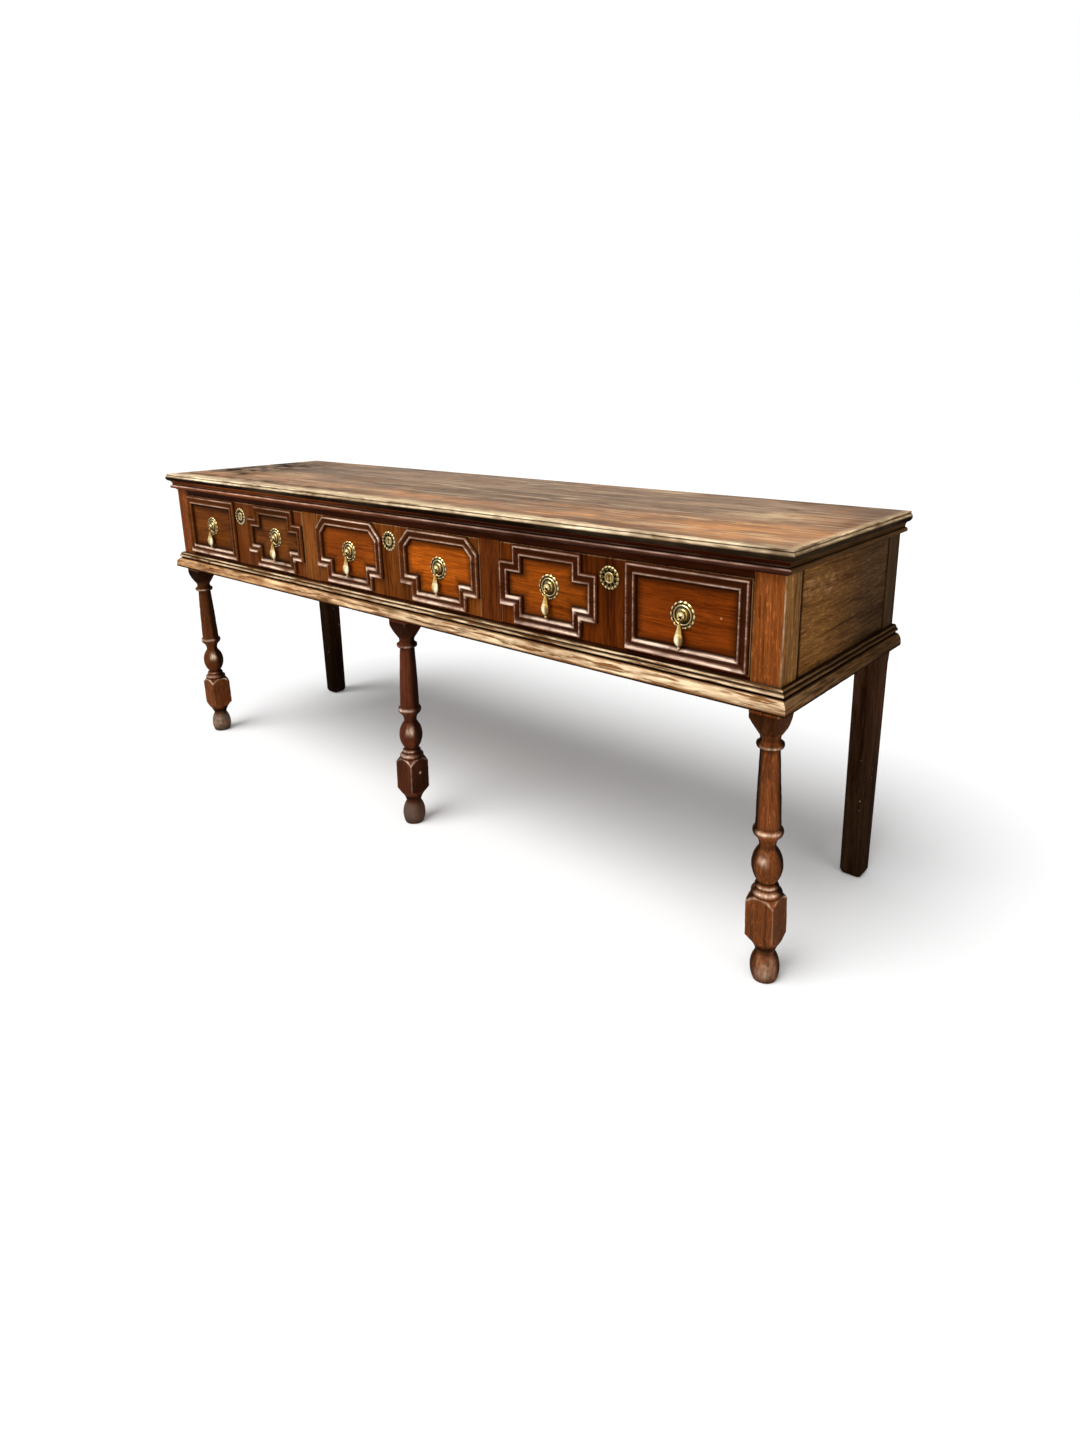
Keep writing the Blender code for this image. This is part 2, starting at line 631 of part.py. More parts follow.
def drawer_front_mesh(name):
    """Front board, rebated at its ends for the sides and along its lower edge for the bottom."""
    bottom = OPENING_BOTTOM + CLEARANCE
    top = OPENING_TOP - CLEARANCE
    board = ((-FRONT_HALF, FRONT_HALF), (FACE_Y, FRONT_BACK_Y), (bottom, top))
    lap = FACE_Y + LAP
    beyond = FRONT_BACK_Y + GAP
    rebates = [((-FRONT_HALF - GAP, -SIDE_INNER + GAP), (lap, beyond), (bottom - GAP, SIDE_TOP + GAP)),
               ((SIDE_INNER - GAP, FRONT_HALF + GAP), (lap, beyond), (bottom - GAP, SIDE_TOP + GAP)),
               ((-FRONT_HALF, FRONT_HALF), (lap, beyond), (bottom - GAP, bottom_top() + GAP))]
    return joinery(name, [board], rebates)


def bottom_top():
    return SIDE_BOTTOM + BOTTOM_LIFT + BOTTOM_THICKNESS


def drawer_boards(prefix, slide, finishes):
    """The drawer's box: front, sides, back and bottom."""
    add_object(prefix + "front", drawer_front_mesh(prefix + "front"), finishes["drawer"], slide)
    lap = FACE_Y + LAP + GAP
    for word, side in SIDES.items():
        span = sorted((side * SIDE_INNER, side * FRONT_HALF))
        board = (tuple(span), (lap, DRAWER_REAR), (SIDE_BOTTOM, SIDE_TOP))
        mesh = joinery(prefix + "side_" + word, [board])
        add_object(prefix + "side_" + word, mesh, finishes["inside"], slide)
    inner = SIDE_INNER - GAP
    back = ((-inner, inner), (DRAWER_REAR - DRAWER_BACK_THICKNESS, DRAWER_REAR),
            (bottom_top() + GAP, SIDE_TOP - 0.004))
    add_object(prefix + "back", joinery(prefix + "back", [back]), finishes["inside"], slide)
    bottom = ((-inner, inner), (lap, DRAWER_REAR), (SIDE_BOTTOM + BOTTOM_LIFT, bottom_top()))
    add_object(prefix + "bottom", joinery(prefix + "bottom", [bottom]), finishes["inside"], slide)


def drawer_lock(prefix, slide, finishes):
    """Lock case behind the front, open at the top for the bolt that rises into the rail."""
    half = LOCK_WIDTH / 2
    case = ((KEYHOLE_X - half, KEYHOLE_X + half), (FRONT_BACK_Y + GAP, LOCK_BACK_Y),
            (LOCK_TOP - LOCK_HEIGHT, LOCK_TOP))
    reach = BOLT_WIDTH / 2
    thick = BOLT_THICKNESS / 2
    foot = LOCK_TOP - BOLT_HEIGHT
    pocket = ((KEYHOLE_X - reach - GAP, KEYHOLE_X + reach + GAP),
              (BOLT_Y - thick - GAP, BOLT_Y + thick + GAP), (foot - GAP, LOCK_TOP + GAP))
    add_object(prefix + "lock", joinery(prefix + "lock", [case], [pocket]), finishes["iron"], slide)
    bolt = ((-reach, reach), (-thick, thick), (0, BOLT_HEIGHT))
    add_object(prefix + "lock_bolt", joinery(prefix + "lock_bolt", [bolt]), finishes["iron"], slide,
               (KEYHOLE_X, BOLT_Y, foot))


def drawer(word, middle, frames, shared, finishes):
    """One drawer with its frames, handles, escutcheon and lock; all of it hangs on its slide."""
    prefix = "drawer_" + word + "_"
    slide = bpy.data.objects.new(prefix + "slide", None)
    bpy.context.scene.collection.objects.link(slide)
    slide.location = (middle, 0, 0)
    drawer_boards(prefix, slide, finishes)
    drawer_lock(prefix, slide, finishes)
    for hand, side in SIDES.items():
        x = side * FRAME_OFFSET
        frame = frame_moulding(prefix + "moulding_" + hand, frames[hand])
        add_object(prefix + "moulding_" + hand, frame, finishes["moulding"], slide, (x, FACE_Y, FRAME_Z))
        along, rise = HANDLE_SHIFT.get((word, hand), (0, 0))
        place = Vector((x + along, FACE_Y, HANDLE_Z + rise))
        add_object(prefix + "plate_" + hand, shared["plate"], finishes["brass"], slide, place)
        pivot = place - Vector((0, PIVOT_OUT, PIVOT_DROP))
        add_object(prefix + "drop_" + hand, shared["drop"], finishes["brass"], slide, pivot)
    keyhole = (KEYHOLE_X, FACE_Y, ESCUTCHEON_Z)
    add_object(prefix + "escutcheon", shared["escutcheon"], finishes["brass"], slide, keyhole)


def main():
    clear_scene()
    finishes = {
        "top": material("oak_top", (0.150, 0.075, 0.034), 0.34),
        "frame": material("oak_frame", (0.105, 0.034, 0.012), 0.36),
        "drawer": material("oak_drawer", (0.205, 0.056, 0.012), 0.32),
        "moulding": material("oak_moulding", (0.075, 0.026, 0.012), 0.34),
        "worn": material("oak_worn", (0.330, 0.190, 0.080), 0.42),
        "end": material("oak_end", (0.070, 0.042, 0.020), 0.45),
        "dark": material("oak_dark", (0.022, 0.012, 0.007), 0.50),
        "inside": material("oak_inside", (0.180, 0.105, 0.052), 0.75),
        "brass": material("brass", (0.620, 0.470, 0.180), 0.30, 1.0),
        "iron": material("iron", (0.060, 0.055, 0.050), 0.55, 1.0),
    }
    carcase(finishes)
    shared = {"plate": plate_mesh(), "drop": drop_mesh(), "escutcheon": escutcheon_mesh()}
    plain = ("square",) * 4
    stepped = ("step",) * 4
    canted = ("step", "step", "cant", "cant")
    frames = {"left": {"left": plain, "right": stepped},
              "middle": {"left": canted, "right": canted},
              "right": {"left": stepped, "right": plain}}
    for word, middle in DRAWERS.items():
        drawer(word, middle, frames[word], shared, finishes)


main()
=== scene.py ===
"""Looks of an oak dresser base: waxed and worn oak, applied drawer mouldings, turned legs, brass drops."""

import math

import bmesh
import bpy
import numpy as np
from mathutils import Matrix, Vector, noise


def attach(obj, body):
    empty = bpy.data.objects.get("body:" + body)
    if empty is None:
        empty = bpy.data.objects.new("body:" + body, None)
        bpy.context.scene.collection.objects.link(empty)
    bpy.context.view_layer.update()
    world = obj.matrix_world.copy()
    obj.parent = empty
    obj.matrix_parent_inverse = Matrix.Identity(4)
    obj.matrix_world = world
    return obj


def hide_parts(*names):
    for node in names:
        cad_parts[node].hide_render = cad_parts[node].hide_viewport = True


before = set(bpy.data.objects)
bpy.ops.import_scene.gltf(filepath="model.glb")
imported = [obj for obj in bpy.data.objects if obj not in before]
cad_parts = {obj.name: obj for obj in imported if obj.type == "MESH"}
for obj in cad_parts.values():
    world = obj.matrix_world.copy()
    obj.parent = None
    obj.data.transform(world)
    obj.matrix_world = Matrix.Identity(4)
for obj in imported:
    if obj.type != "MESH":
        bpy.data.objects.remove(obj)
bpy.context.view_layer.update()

# Sizes of the dresser, in metres
LENGTH = 1.930
DEPTH = 0.497
HEIGHT = 0.776
GAP = 0.0003
OVERHANG = 0.0205
TOP_THICKNESS = 0.019
CORNICE_HEIGHT = 0.025
CARCASE_BOTTOM = 0.510
BASE_HEIGHT = 0.0415
LEG_SIDE = 0.055
BLOCK_SIDE = 0.0540
LEAN_START = 0.499
RAIL_THICKNESS = 0.038
OPENING_TOP = 0.721
CLEARANCE = 0.0015
FRONT_THICKNESS = 0.022
FRAME_OFFSET = 0.1535
FRAME_HALF_WIDTH = 0.1185
FRAME_HALF_HEIGHT = 0.075
FRAME_Z = 0.640
STEP_WIDTH = 0.037
STEP_HEIGHT = 0.0335
CANT = 0.030
HANDLE_Z = 0.643
HANDLE_SHIFT = {("right", "left"): (0.0045, 0.0030), ("right", "right"): (-0.0045, -0.0030)}
KEYHOLE_X = -0.0065
FIELD_PROUD = 0.0007
PLATE_RADIUS = 0.0250
PLATE_LOBES = 14
BOSS_RADIUS = 0.0135
BOSS_HEIGHT = 0.0140
PIVOT_OUT = 0.0108
PIVOT_DROP = 0.0060
ESCUTCHEON_Z = 0.683
ESCUTCHEON_RADIUS = 0.0220
ESCUTCHEON_BEADS = 16
ESCUTCHEON_OPENINGS = 10
LOCK_TOP = 0.7165
BOLT_WIDTH = 0.022
BOLT_DEPTH = 0.005
BOLT_TRAVEL = 0.010

HALF_WIDTH = LENGTH / 2 - OVERHANG
FACE_Y = -DEPTH / 2 + OVERHANG
REAR_Y = DEPTH / 2
TOP_UNDERSIDE = HEIGHT - TOP_THICKNESS
CORNICE_BOTTOM = TOP_UNDERSIDE - CORNICE_HEIGHT
BASE_TOP = CARCASE_BOTTOM + BASE_HEIGHT
STILE_INNER = HALF_WIDTH - LEG_SIDE
OPENING_WIDTH = (2 * STILE_INNER - 2 * LEG_SIDE) / 3
DRAWER_PITCH = OPENING_WIDTH + LEG_SIDE
LEG_Y = FACE_Y + LEG_SIDE / 2
BOLT_Y = FACE_Y + FRONT_THICKNESS + GAP + 0.0055
DRAWERS = {"left": -DRAWER_PITCH, "middle": 0.0, "right": DRAWER_PITCH}
SIDES = {"left": -1, "right": 1}


# Node trees

class Signal:
    """A node's output that sums can be written with; each step makes a node."""

    def __init__(self, graph, socket):
        self.graph = graph
        self.socket = socket

    def __add__(self, other):
        return self.graph.math("ADD", self, other)

    def __radd__(self, other):
        return self.graph.math("ADD", other, self)

    def __sub__(self, other):
        return self.graph.math("SUBTRACT", self, other)

    def __rsub__(self, other):
        return self.graph.math("SUBTRACT", other, self)

    def __mul__(self, other):
        return self.graph.math("MULTIPLY", self, other)

    def __truediv__(self, other):
        return self.graph.math("DIVIDE", self, other)

    def __pow__(self, other):
        return self.graph.math("POWER", self, other)


class Graph:
    """A short way to write the node tree of a material or a world."""

    def __init__(self, owner):
        owner.use_nodes = True
        self.owner = owner
        self.tree = owner.node_tree
        self.shader = self.tree.nodes.get("Principled BSDF")

    def put(self, socket, value):
        if isinstance(value, Signal):
            self.tree.links.new(value.socket, socket)
        elif socket.type == "RGBA":
            socket.default_value = (*value, 1.0)
        else:
            socket.default_value = value

    def node(self, kind, inputs=None, **settings):
        """A new node with its settings, its inputs linked or set by name or number."""
        made = self.tree.nodes.new("ShaderNode" + kind)
        for key, value in settings.items():
            setattr(made, key, value)
        for key, value in (inputs or {}).items():
            self.put(made.inputs[key], value)
        return made

    def out(self, made, key=0):
        return Signal(self, made.outputs[key])

    def math(self, operation, first, second=0.0, clamp=False):
        return self.out(self.node("Math", {0: first, 1: second}, operation=operation, use_clamp=clamp))

    def mapped(self, vector, scale, location=(0, 0, 0)):
        return self.out(self.node("Mapping", {"Vector": vector, "Scale": scale, "Location": location}))

    def dot(self, first, second):
        return self.out(self.node("VectorMath", {0: first, 1: second}, operation="DOT_PRODUCT"), "Value")

    def noise(self, vector, scale, detail=3.0, roughness=0.55, distortion=0.0, output="Fac"):
        made = self.node("TexNoise", {"Vector": vector, "Scale": scale, "Detail": detail,
                                      "Roughness": roughness, "Distortion": distortion})
        return self.out(made, output)

    def ramp(self, value, stops):
        made = self.node("ValToRGB", {0: value})
        points = made.color_ramp.elements
        while len(points) < len(stops):
            points.new(0.5)
        for point, (place, colour) in zip(points, stops):
            point.position = place
            point.color = (*colour, 1.0) if isinstance(colour, tuple) else (colour, colour, colour, 1.0)
        return self.out(made)

    def mix(self, share, first, second, blend="MIX"):
        made = self.node("Mix", data_type="RGBA", blend_type=blend)
        for key, value in (("Factor", share), ("A", first), ("B", second)):
            self.put(made.inputs[key], value)
        return self.out(made, "Result")

    def mark(self, name):
        return self.out(self.node("Attribute", attribute_name=name), "Fac")

    def rise(self, value, low, high):
        """From 0 at low to 1 at high."""
        made = self.node("MapRange", {"Value": value, "From Min": low, "From Max": high},
                         interpolation_type="SMOOTHSTEP")
        return self.out(made, "Result")

    def seen(self):
        """One for what the camera, a gloss or a glass sees, nothing for the light on matt things."""
        path = self.node("LightPath")
        camera = self.out(path, "Is Camera Ray")
        gloss = self.out(path, "Is Glossy Ray")
        glass = self.out(path, "Is Transmission Ray")
        return self.math("MAXIMUM", self.math("MAXIMUM", camera, gloss), glass)

    def finish(self, values):
        """Link or set the shader's inputs."""
        for key, value in values.items():
            self.put(self.shader.inputs[key], value)

    def bump(self, height, strength, distance):
        made = self.node("Bump", {"Strength": strength, "Distance": distance, "Height": height})
        self.finish({"Normal": self.out(made)})


class Timber(Graph):
    """Node tree of oak: its fibres along the axis `grain`, and the noises that its colours and wear share."""

    def __init__(self, name, grain, seed, fine):
        super().__init__(bpy.data.materials.new(name))
        self.along = "XYZ".index(grain)
        self.seed = seed
        self.fine = fine
        self.place = self.out(self.node("TexCoord"), "Object")
        moved = self.mapped(self.place, (1, 1, 1), (seed, seed * 0.7, seed * 1.3))
        sway = {0: self.noise(moved, 3.2, 2.0, output="Color"), 1: (0.022, 0.022, 0.022), 2: self.place}
        self.fibres = self.out(self.node("VectorMath", sway, operation="MULTIPLY_ADD"))
        self.streaks = self.fibre_noise(230, 9.0, 4.0, 3.0, 0.60, 0.3)
        self.pores = self.fibre_noise(640, 36.0, 9.0, 2.0, 0.5)
        self.spread = self.fibre_noise(46, 2.8, 0.0, 5.0, 0.62, 0.6) * 0.5 + self.streaks * 0.5
        clouds = self.mapped(self.place, self.drawn_out(1.0, 0.45), (seed * 5, 1.7, seed))
        self.patina = self.noise(clouds, 7.0, 5.0, 0.62)

    def drawn_out(self, across, lengthways):
        """A scale for each axis: `lengthways` for the grain's, `across` for the others."""
        scale = [across] * 3
        scale[self.along] = lengthways
        return tuple(scale)

    def fibre_noise(self, across, lengthways, offset, detail, roughness, distortion=0.0):
        """Noise drawn out along the grain."""
        scale = self.drawn_out(across * self.fine, lengthways * self.fine ** 0.5)
        moved = (self.seed + offset, self.seed * 2 + offset, self.seed * 3)
        return self.noise(self.mapped(self.fibres, scale, moved), 1.0, detail, roughness, distortion)

    def axis(self, name):
        return self.out(self.node("SeparateXYZ", {0: self.place}), name)

    def marked(self, name, by_place=None):
        """A mark of the mesh, or more of the same by place."""
        if by_place:
            return self.math("MAXIMUM", self.mark(name), by_place(self))
        return self.mark(name)


# Materials

# GRIME_AND_SHADE is the colour of dirt and of painted shade, laid in hollows, creases, under the top's edge
# and on sides turned from the light.
GRIME_AND_SHADE = (0.0070, 0.0032, 0.0014)
DUST = (0.098, 0.072, 0.053)
FLECK = (2.3, 2.4, 2.6)
CHIP = (0.42, 0.40, 0.33)
GOLDEN = (0.89, 0.68, 0.43)
# CREAM is the frames' rubbed colour, and paints the highlights on their ridges too
CREAM = (0.95, 0.71, 0.56)
PALE = (0.86, 0.66, 0.40)


def grained(wood, body, contrast):
    """The body colour with the figure, pores and patina of the wood."""
    dark = tuple(1 - contrast * (1 - part) for part in (0.40, 0.34, 0.30))
    light = tuple(1 + contrast * (part - 1) for part in (1.42, 1.52, 1.70))
    figure = wood.ramp(wood.spread, [(0.36, dark), (0.50, 1.0), (0.64, light)])
    tint = wood.mix(1.0, body, figure, "MULTIPLY")
    tint = wood.mix(0.6 * contrast, tint, wood.ramp(wood.pores, [(0.36, 0.35), (0.48, 1.0)]), "MULTIPLY")
    return wood.mix(1.0, tint, wood.ramp(wood.patina, [(0.26, 0.50), (0.50, 1.0), (0.76, 1.45)]), "MULTIPLY")


def rubbed_bare(wood, bare, scored):
    """Colour of the rubbed wood, with dark scratches."""
    tint = wood.mix(0.9, bare, wood.ramp(wood.spread, [(0.36, (0.46, 0.38, 0.30)), (0.62, 1.30)]), "MULTIPLY")
    if scored:
        lines = wood.fibre_noise(330, 14.0, 21.0, 3.0, 0.65, 0.5)
        tint = wood.mix(scored, tint, wood.ramp(lines, [(0.39, (0.20, 0.12, 0.06)), (0.51, 1.0)]), "MULTIPLY")
    return tint


def oak(name, colour, grain, worn, rough, gloss, contrast, seed, faded=None, fade_by=None, fleck=0.0,
        edges=None, scored=0.0, fine=1.0, scratched=0.0, worn_faded=None, chips=0.0, dirt_by=None):
    """Waxed oak, its fibres along the axis `grain`.

    The meshes' marks say where it is rubbed, partly as painted highlight (wear); dirty, partly as painted
    shade in hollows, creases and on sides turned from the light (grime); bleached (fade); or dusty (dust).
    edges, dirt_by and fade_by give more wear, grime and fade by place, dirt_by giving painted shadow, and
    worn_faded is the rubbed wood's colour where it is bleached. scored darkens scratches in the rubbed wood,
    scratched adds long pale ones to all of it, fleck adds pale rays, chips adds pale specks, and fine below 1
    widens the grain.
    """
    wood = Timber(name, grain, seed, fine)
    bleached = wood.marked("fade_and_shine", fade_by) if faded else 0.0
    tint = grained(wood, wood.mix(bleached, colour, faded) if faded else colour, contrast)
    if fleck:
        rays = wood.ramp(wood.fibre_noise(300, 70.0, 13.0, 2.0, 0.5, 0.4), [(0.58, 0.0), (0.68, 1.0)])
        tint = wood.mix(rays * fleck, tint, wood.mix(1.0, tint, FLECK, "MULTIPLY"))
    if scratched:
        lines = wood.ramp(wood.fibre_noise(190, 6.0, 31.0, 2.0, 0.6, 0.8), [(0.56, 0.0), (0.66, 1.0)])
        tint = wood.mix(lines * scratched, tint, worn)
    tint = wood.mix(wood.mark("dust"), tint, DUST)
    wear_and_highlight = wood.marked("wear_and_highlight", edges)
    uneven_rub = (wood.streaks - 0.5) + (wood.patina - 0.5)
    rubbed = wood.math("ADD", wear_and_highlight, uneven_rub * 1.5 * wear_and_highlight, True)
    bare = wood.mix(wood.mark("fade_and_shine"), worn, worn_faded) if worn_faded else worn
    tint = wood.mix(rubbed, tint, rubbed_bare(wood, bare, scored))
    # Dirt and painted shade darken the wood by the grime mark
    dirt = wood.math("MULTIPLY", wood.marked("grime_and_shade", dirt_by), wood.patina + 0.55, True)
    tint = wood.mix(dirt, tint, GRIME_AND_SHADE)
    if chips:
        specks = wood.noise(wood.mapped(wood.place, (1, 1, 0.7), (seed, 0, 0)), 75.0, 2.0, 0.5)
        tint = wood.mix(wood.rise(specks, 0.715, 0.735) * chips * bleached, tint, CHIP)
    dull = (rough - 0.10) + wood.streaks * 0.20
    wood.finish({"Base Color": tint, "Roughness": wood.math("ADD", dull, dirt * 0.25, True),
                 "Specular IOR Level": gloss})
    wood.bump(wood.pores * 0.6 + wood.streaks * 0.5, 0.35, 0.0005)
    return wood.owner


def brass_metal():
    """Old cast brass: lighter where it faces up and to the left and darker underneath, darker where it faces
    the front right, as painted reflections; pale where rubbed, with painted highlights where marked, brown in
    the hollows and darkened by painted shade where marked.
    """
    graph = Graph(bpy.data.materials.new("old_brass"))
    coordinates = graph.node("TexCoord")
    place = graph.out(coordinates, "Object")
    normal = graph.out(coordinates, "Normal")
    cloud = graph.noise(place, 170.0, 4.0, 0.6)
    speck = graph.noise(place, 900.0, 2.0)
    # Painted reflection: lighter facing up and to the left, darker facing down
    up = graph.dot(normal, (-0.46, -0.42, 0.78)) + (cloud - 0.5) * 0.9
    tint = graph.ramp(up, [(0.0, (0.170, 0.085, 0.014)), (0.30, (0.42, 0.255, 0.055)),
                           (0.55, (0.66, 0.455, 0.135)), (0.92, (0.98, 0.83, 0.48))])
    # Painted reflection of dark surroundings on faces towards the front right
    front = graph.rise(graph.dot(normal, (0.52, -0.82, -0.24)), 0.84, 1.0)
    tint = graph.mix(front * 0.60, tint, (0.20, 0.085, 0.012))
    tint = graph.mix(graph.mark("wear_and_highlight") * 0.60, tint, (0.95, 0.80, 0.46))
    # Painted highlight where the fade mark is
    tint = graph.mix(graph.mark("fade_and_shine"), tint, (1.0, 0.91, 0.63))
    # Tarnish in the hollows, and painted shade in the slot and on the darker escutcheons
    dirt = graph.math("MULTIPLY", graph.mark("grime_and_shade"), cloud + 0.60, True)
    tint = graph.mix(dirt, tint, (0.012, 0.008, 0.003))
    rough = graph.math("ADD", 0.18 + cloud * 0.24, dirt * 0.35, True)
    graph.finish({"Base Color": tint, "Metallic": 1.0, "Roughness": rough})
    graph.bump(cloud + speck * 0.3, 0.30, 0.0003)
    return graph.owner


def iron_metal():
    graph = Graph(bpy.data.materials.new("old_iron"))
    rust = graph.noise(graph.out(graph.node("TexCoord"), "Object"), 90.0, 5.0, 0.65)
    tint = graph.ramp(rust, [(0.40, (0.045, 0.040, 0.036)), (0.56, (0.075, 0.055, 0.040)),
                             (0.70, (0.150, 0.062, 0.024))])
    rough = graph.ramp(rust, [(0.35, 0.42), (0.70, 0.85)])
    graph.finish({"Base Color": tint, "Metallic": 0.8, "Roughness": rough})
    graph.bump(rust, 0.35, 0.0004)
    return graph.owner


def shadow_black():
    """Painted shadow in a keyhole and behind the openings of an escutcheon, with darker and lighter specks.
    """
    graph = Graph(bpy.data.materials.new("keyhole_dark"))
    dust = graph.noise(graph.out(graph.node("TexCoord"), "Object"), 300.0, 3.0)
    tint = graph.ramp(dust, [(0.4, (0.004, 0.003, 0.002)), (0.7, (0.012, 0.008, 0.005))])
    graph.finish({"Base Color": tint, "Roughness": 0.9, "Specular IOR Level": 0.05})
    return graph.owner


# Wear, fade and painted shadow by place

def towards_foot(wood):
    """Rises from the upper half of a back leg to its foot."""
    return 1.0 - wood.rise(wood.axis("Z"), 0.060, 0.430)


def on_stile(wood):
    """One on a back leg's upper part, beside the end panel, nothing on the leg below."""
    return wood.rise(wood.axis("Z"), CARCASE_BOTTOM - 0.004, CARCASE_BOTTOM + 0.004)


def towards_back(wood):
    """Rises from the front of the carcase's end to its back."""
    return wood.rise(wood.axis("Y"), -0.120, 0.130)


def scuffs(wood):
    """Scuffed wood in the upper front part of an end panel."""
    depth = (wood.axis("Y") + 0.095) / 0.080
    height = (wood.axis("Z") - 0.692) / 0.024
    patch = 1.0 - wood.rise(depth ** 2.0 + height ** 2.0, 0.3, 1.5)
    marks = wood.noise(wood.mapped(wood.place, (1, 48, 85)), 1.0, 3.0, 0.6)
    return patch * (wood.rise(marks, 0.40, 0.66) * 0.62)


def shadow_by_stile(wood):
    """Painted shadow beside the front stile, which hides the panel's first 6 mm from the camera."""
    start = FACE_Y + LEG_SIDE
    return 0.85 - wood.rise(wood.axis("Y"), start + 0.008, start + 0.018)


def drawer_edges(wood):
    """Rubbed arrises round the three drawer fronts, which stand a pitch apart."""
    band = 0.0030
    half = OPENING_WIDTH / 2 - CLEARANCE
    top = OPENING_TOP - CLEARANCE
    wrap = wood.node("Math", {0: wood.axis("X"), 1: DRAWER_PITCH / 2, 2: -DRAWER_PITCH / 2}, operation="WRAP")
    at_ends = wood.rise(wood.math("ABSOLUTE", wood.out(wrap)), half - band, half - band / 3)
    at_top = wood.rise(wood.axis("Z"), top - band, top - band / 3)
    return wood.math("MAXIMUM", at_ends, at_top) * 0.40


# Finishes

FINISH = {"brass": brass_metal(), "iron": iron_metal(), "keyhole": shadow_black()}


def timber(key, *looks, **more):
    FINISH[key] = oak("oak_" + key, *looks, **more)


# Colour, grain, rubbed colour, roughness, gloss, contrast and seed of each, then what it has of its own
timber("top", (0.220, 0.130, 0.071), "X", PALE, 0.42, 0.018, 0.95, 1.0,
       faded=(0.450, 0.188, 0.058), fleck=0.15, scored=0.7, fine=0.42, scratched=0.34)
timber("top_front", (0.160, 0.090, 0.042), "X", (0.97, 0.78, 0.52), 0.42, 0.004, 0.95, 1.4,
       scored=0.7, fine=0.42)
timber("top_end", (0.120, 0.066, 0.030), "Y", (0.84, 0.63, 0.38), 0.45, 0.002, 0.95, 1.8,
       scored=0.6, fine=0.5)
# The middle leg's tone is darker than the right one's, partly as painted shade of light falling off to the
# left
timber("leg_middle", (0.146, 0.035, 0.0130), "Z", (0.80, 0.60, 0.47), 0.30, 0.008, 0.7, 3.3)
timber("cornice", (0.048, 0.0080, 0.0020), "X", (0.78, 0.54, 0.42), 0.38, 0.003, 0.9, 4.7,
       faded=(0.285, 0.066, 0.0108))
timber("rail", (0.044, 0.009, 0.0022), "X", (0.30, 0.17, 0.08), 0.42, 0.008, 0.8, 4.4)
timber("worn", (0.260, 0.098, 0.026), "X", GOLDEN, 0.42, 0.008, 1.0, 5.0, scored=1.0, fine=0.48,
       worn_faded=(0.86, 0.52, 0.26))
timber("worn_end", (0.038, 0.018, 0.0065), "Y", (0.100, 0.050, 0.0175), 0.45, 0.002, 1.0, 5.5, scored=0.6,
       worn_faded=(0.215, 0.118, 0.052))
timber("cornice_end", (0.088, 0.041, 0.0145), "Y", (0.20, 0.12, 0.05), 0.45, 0.002, 0.8, 5.8)
timber("end", (0.166, 0.071, 0.0185), "Y", (0.30, 0.165, 0.074), 0.50, 0.002, 1.0, 6.0,
       faded=(0.058, 0.0290, 0.0115), fade_by=towards_back, fleck=0.50, edges=scuffs, dirt_by=shadow_by_stile)
# The left back leg is a darker copy of the right one, as painted shade
timber("back_left", (0.0240, 0.0105, 0.0048), "Z", (0.053, 0.031, 0.0155), 0.48, 0.001, 1.0, 7.4,
       faded=(0.0160, 0.0075, 0.0034), fade_by=towards_foot, chips=0.8, edges=on_stile)
timber("back_right", (0.0500, 0.0210, 0.0096), "Z", (0.053, 0.031, 0.0155), 0.48, 0.001, 1.0, 7.0,
       faded=(0.0250, 0.0118, 0.0052), fade_by=towards_foot, chips=0.8, edges=on_stile)
timber("divider_left", (0.193, 0.057, 0.0104), "Z", (0.40, 0.22, 0.09), 0.42, 0.008, 0.9, 2.0)
timber("divider_right", (0.107, 0.024, 0.0040), "Z", (0.40, 0.22, 0.09), 0.42, 0.008, 1.0, 2.6)
timber("inside", (0.200, 0.120, 0.060), "Y", (0.36, 0.24, 0.13), 0.70, 0.02, 0.9, 8.0)
timber("inside_long", (0.175, 0.105, 0.052), "X", (0.36, 0.24, 0.13), 0.72, 0.02, 0.9, 9.0)
timber("plug", (0.48, 0.18, 0.075), "X", (0.60, 0.40, 0.24), 0.50, 0.02, 0.5, 2.2)
timber("peg", (0.42, 0.33, 0.16), "X", (0.60, 0.40, 0.24), 0.50, 0.02, 0.5, 2.9)

# The left leg's tone is darker than the right one's, partly as painted shade of light falling off to the left
LEG_TONES = {"left": (0.170, 0.042, 0.0070), "right": (0.195, 0.0515, 0.0100)}
FRONT_TONES = {"left": (0.138, 0.034, 0.0055), "middle": (0.185, 0.048, 0.006),
               "right": (0.120, 0.0235, 0.002)}
FRAME_TONES = {"left": (0.130, 0.0355, 0.0058), "middle": (0.110, 0.0285, 0.0058),
               "right": (0.067, 0.0142, 0.0030)}
FIELD_TONES = {
    ("left", "left"): (0.134, 0.035, 0.0039), ("left", "right"): (0.140, 0.040, 0.0068),
    ("middle", "left"): (0.291, 0.061, 0.0046), ("middle", "right"): (0.373, 0.079, 0.0050),
    ("right", "left"): (0.286, 0.060, 0.0040), ("right", "right"): (0.194, 0.035, 0.0026),
}


# Profiles and noise

def turns(count):
    """Angles of a full turn in equal steps."""
    return 2 * math.pi * np.arange(count) / count


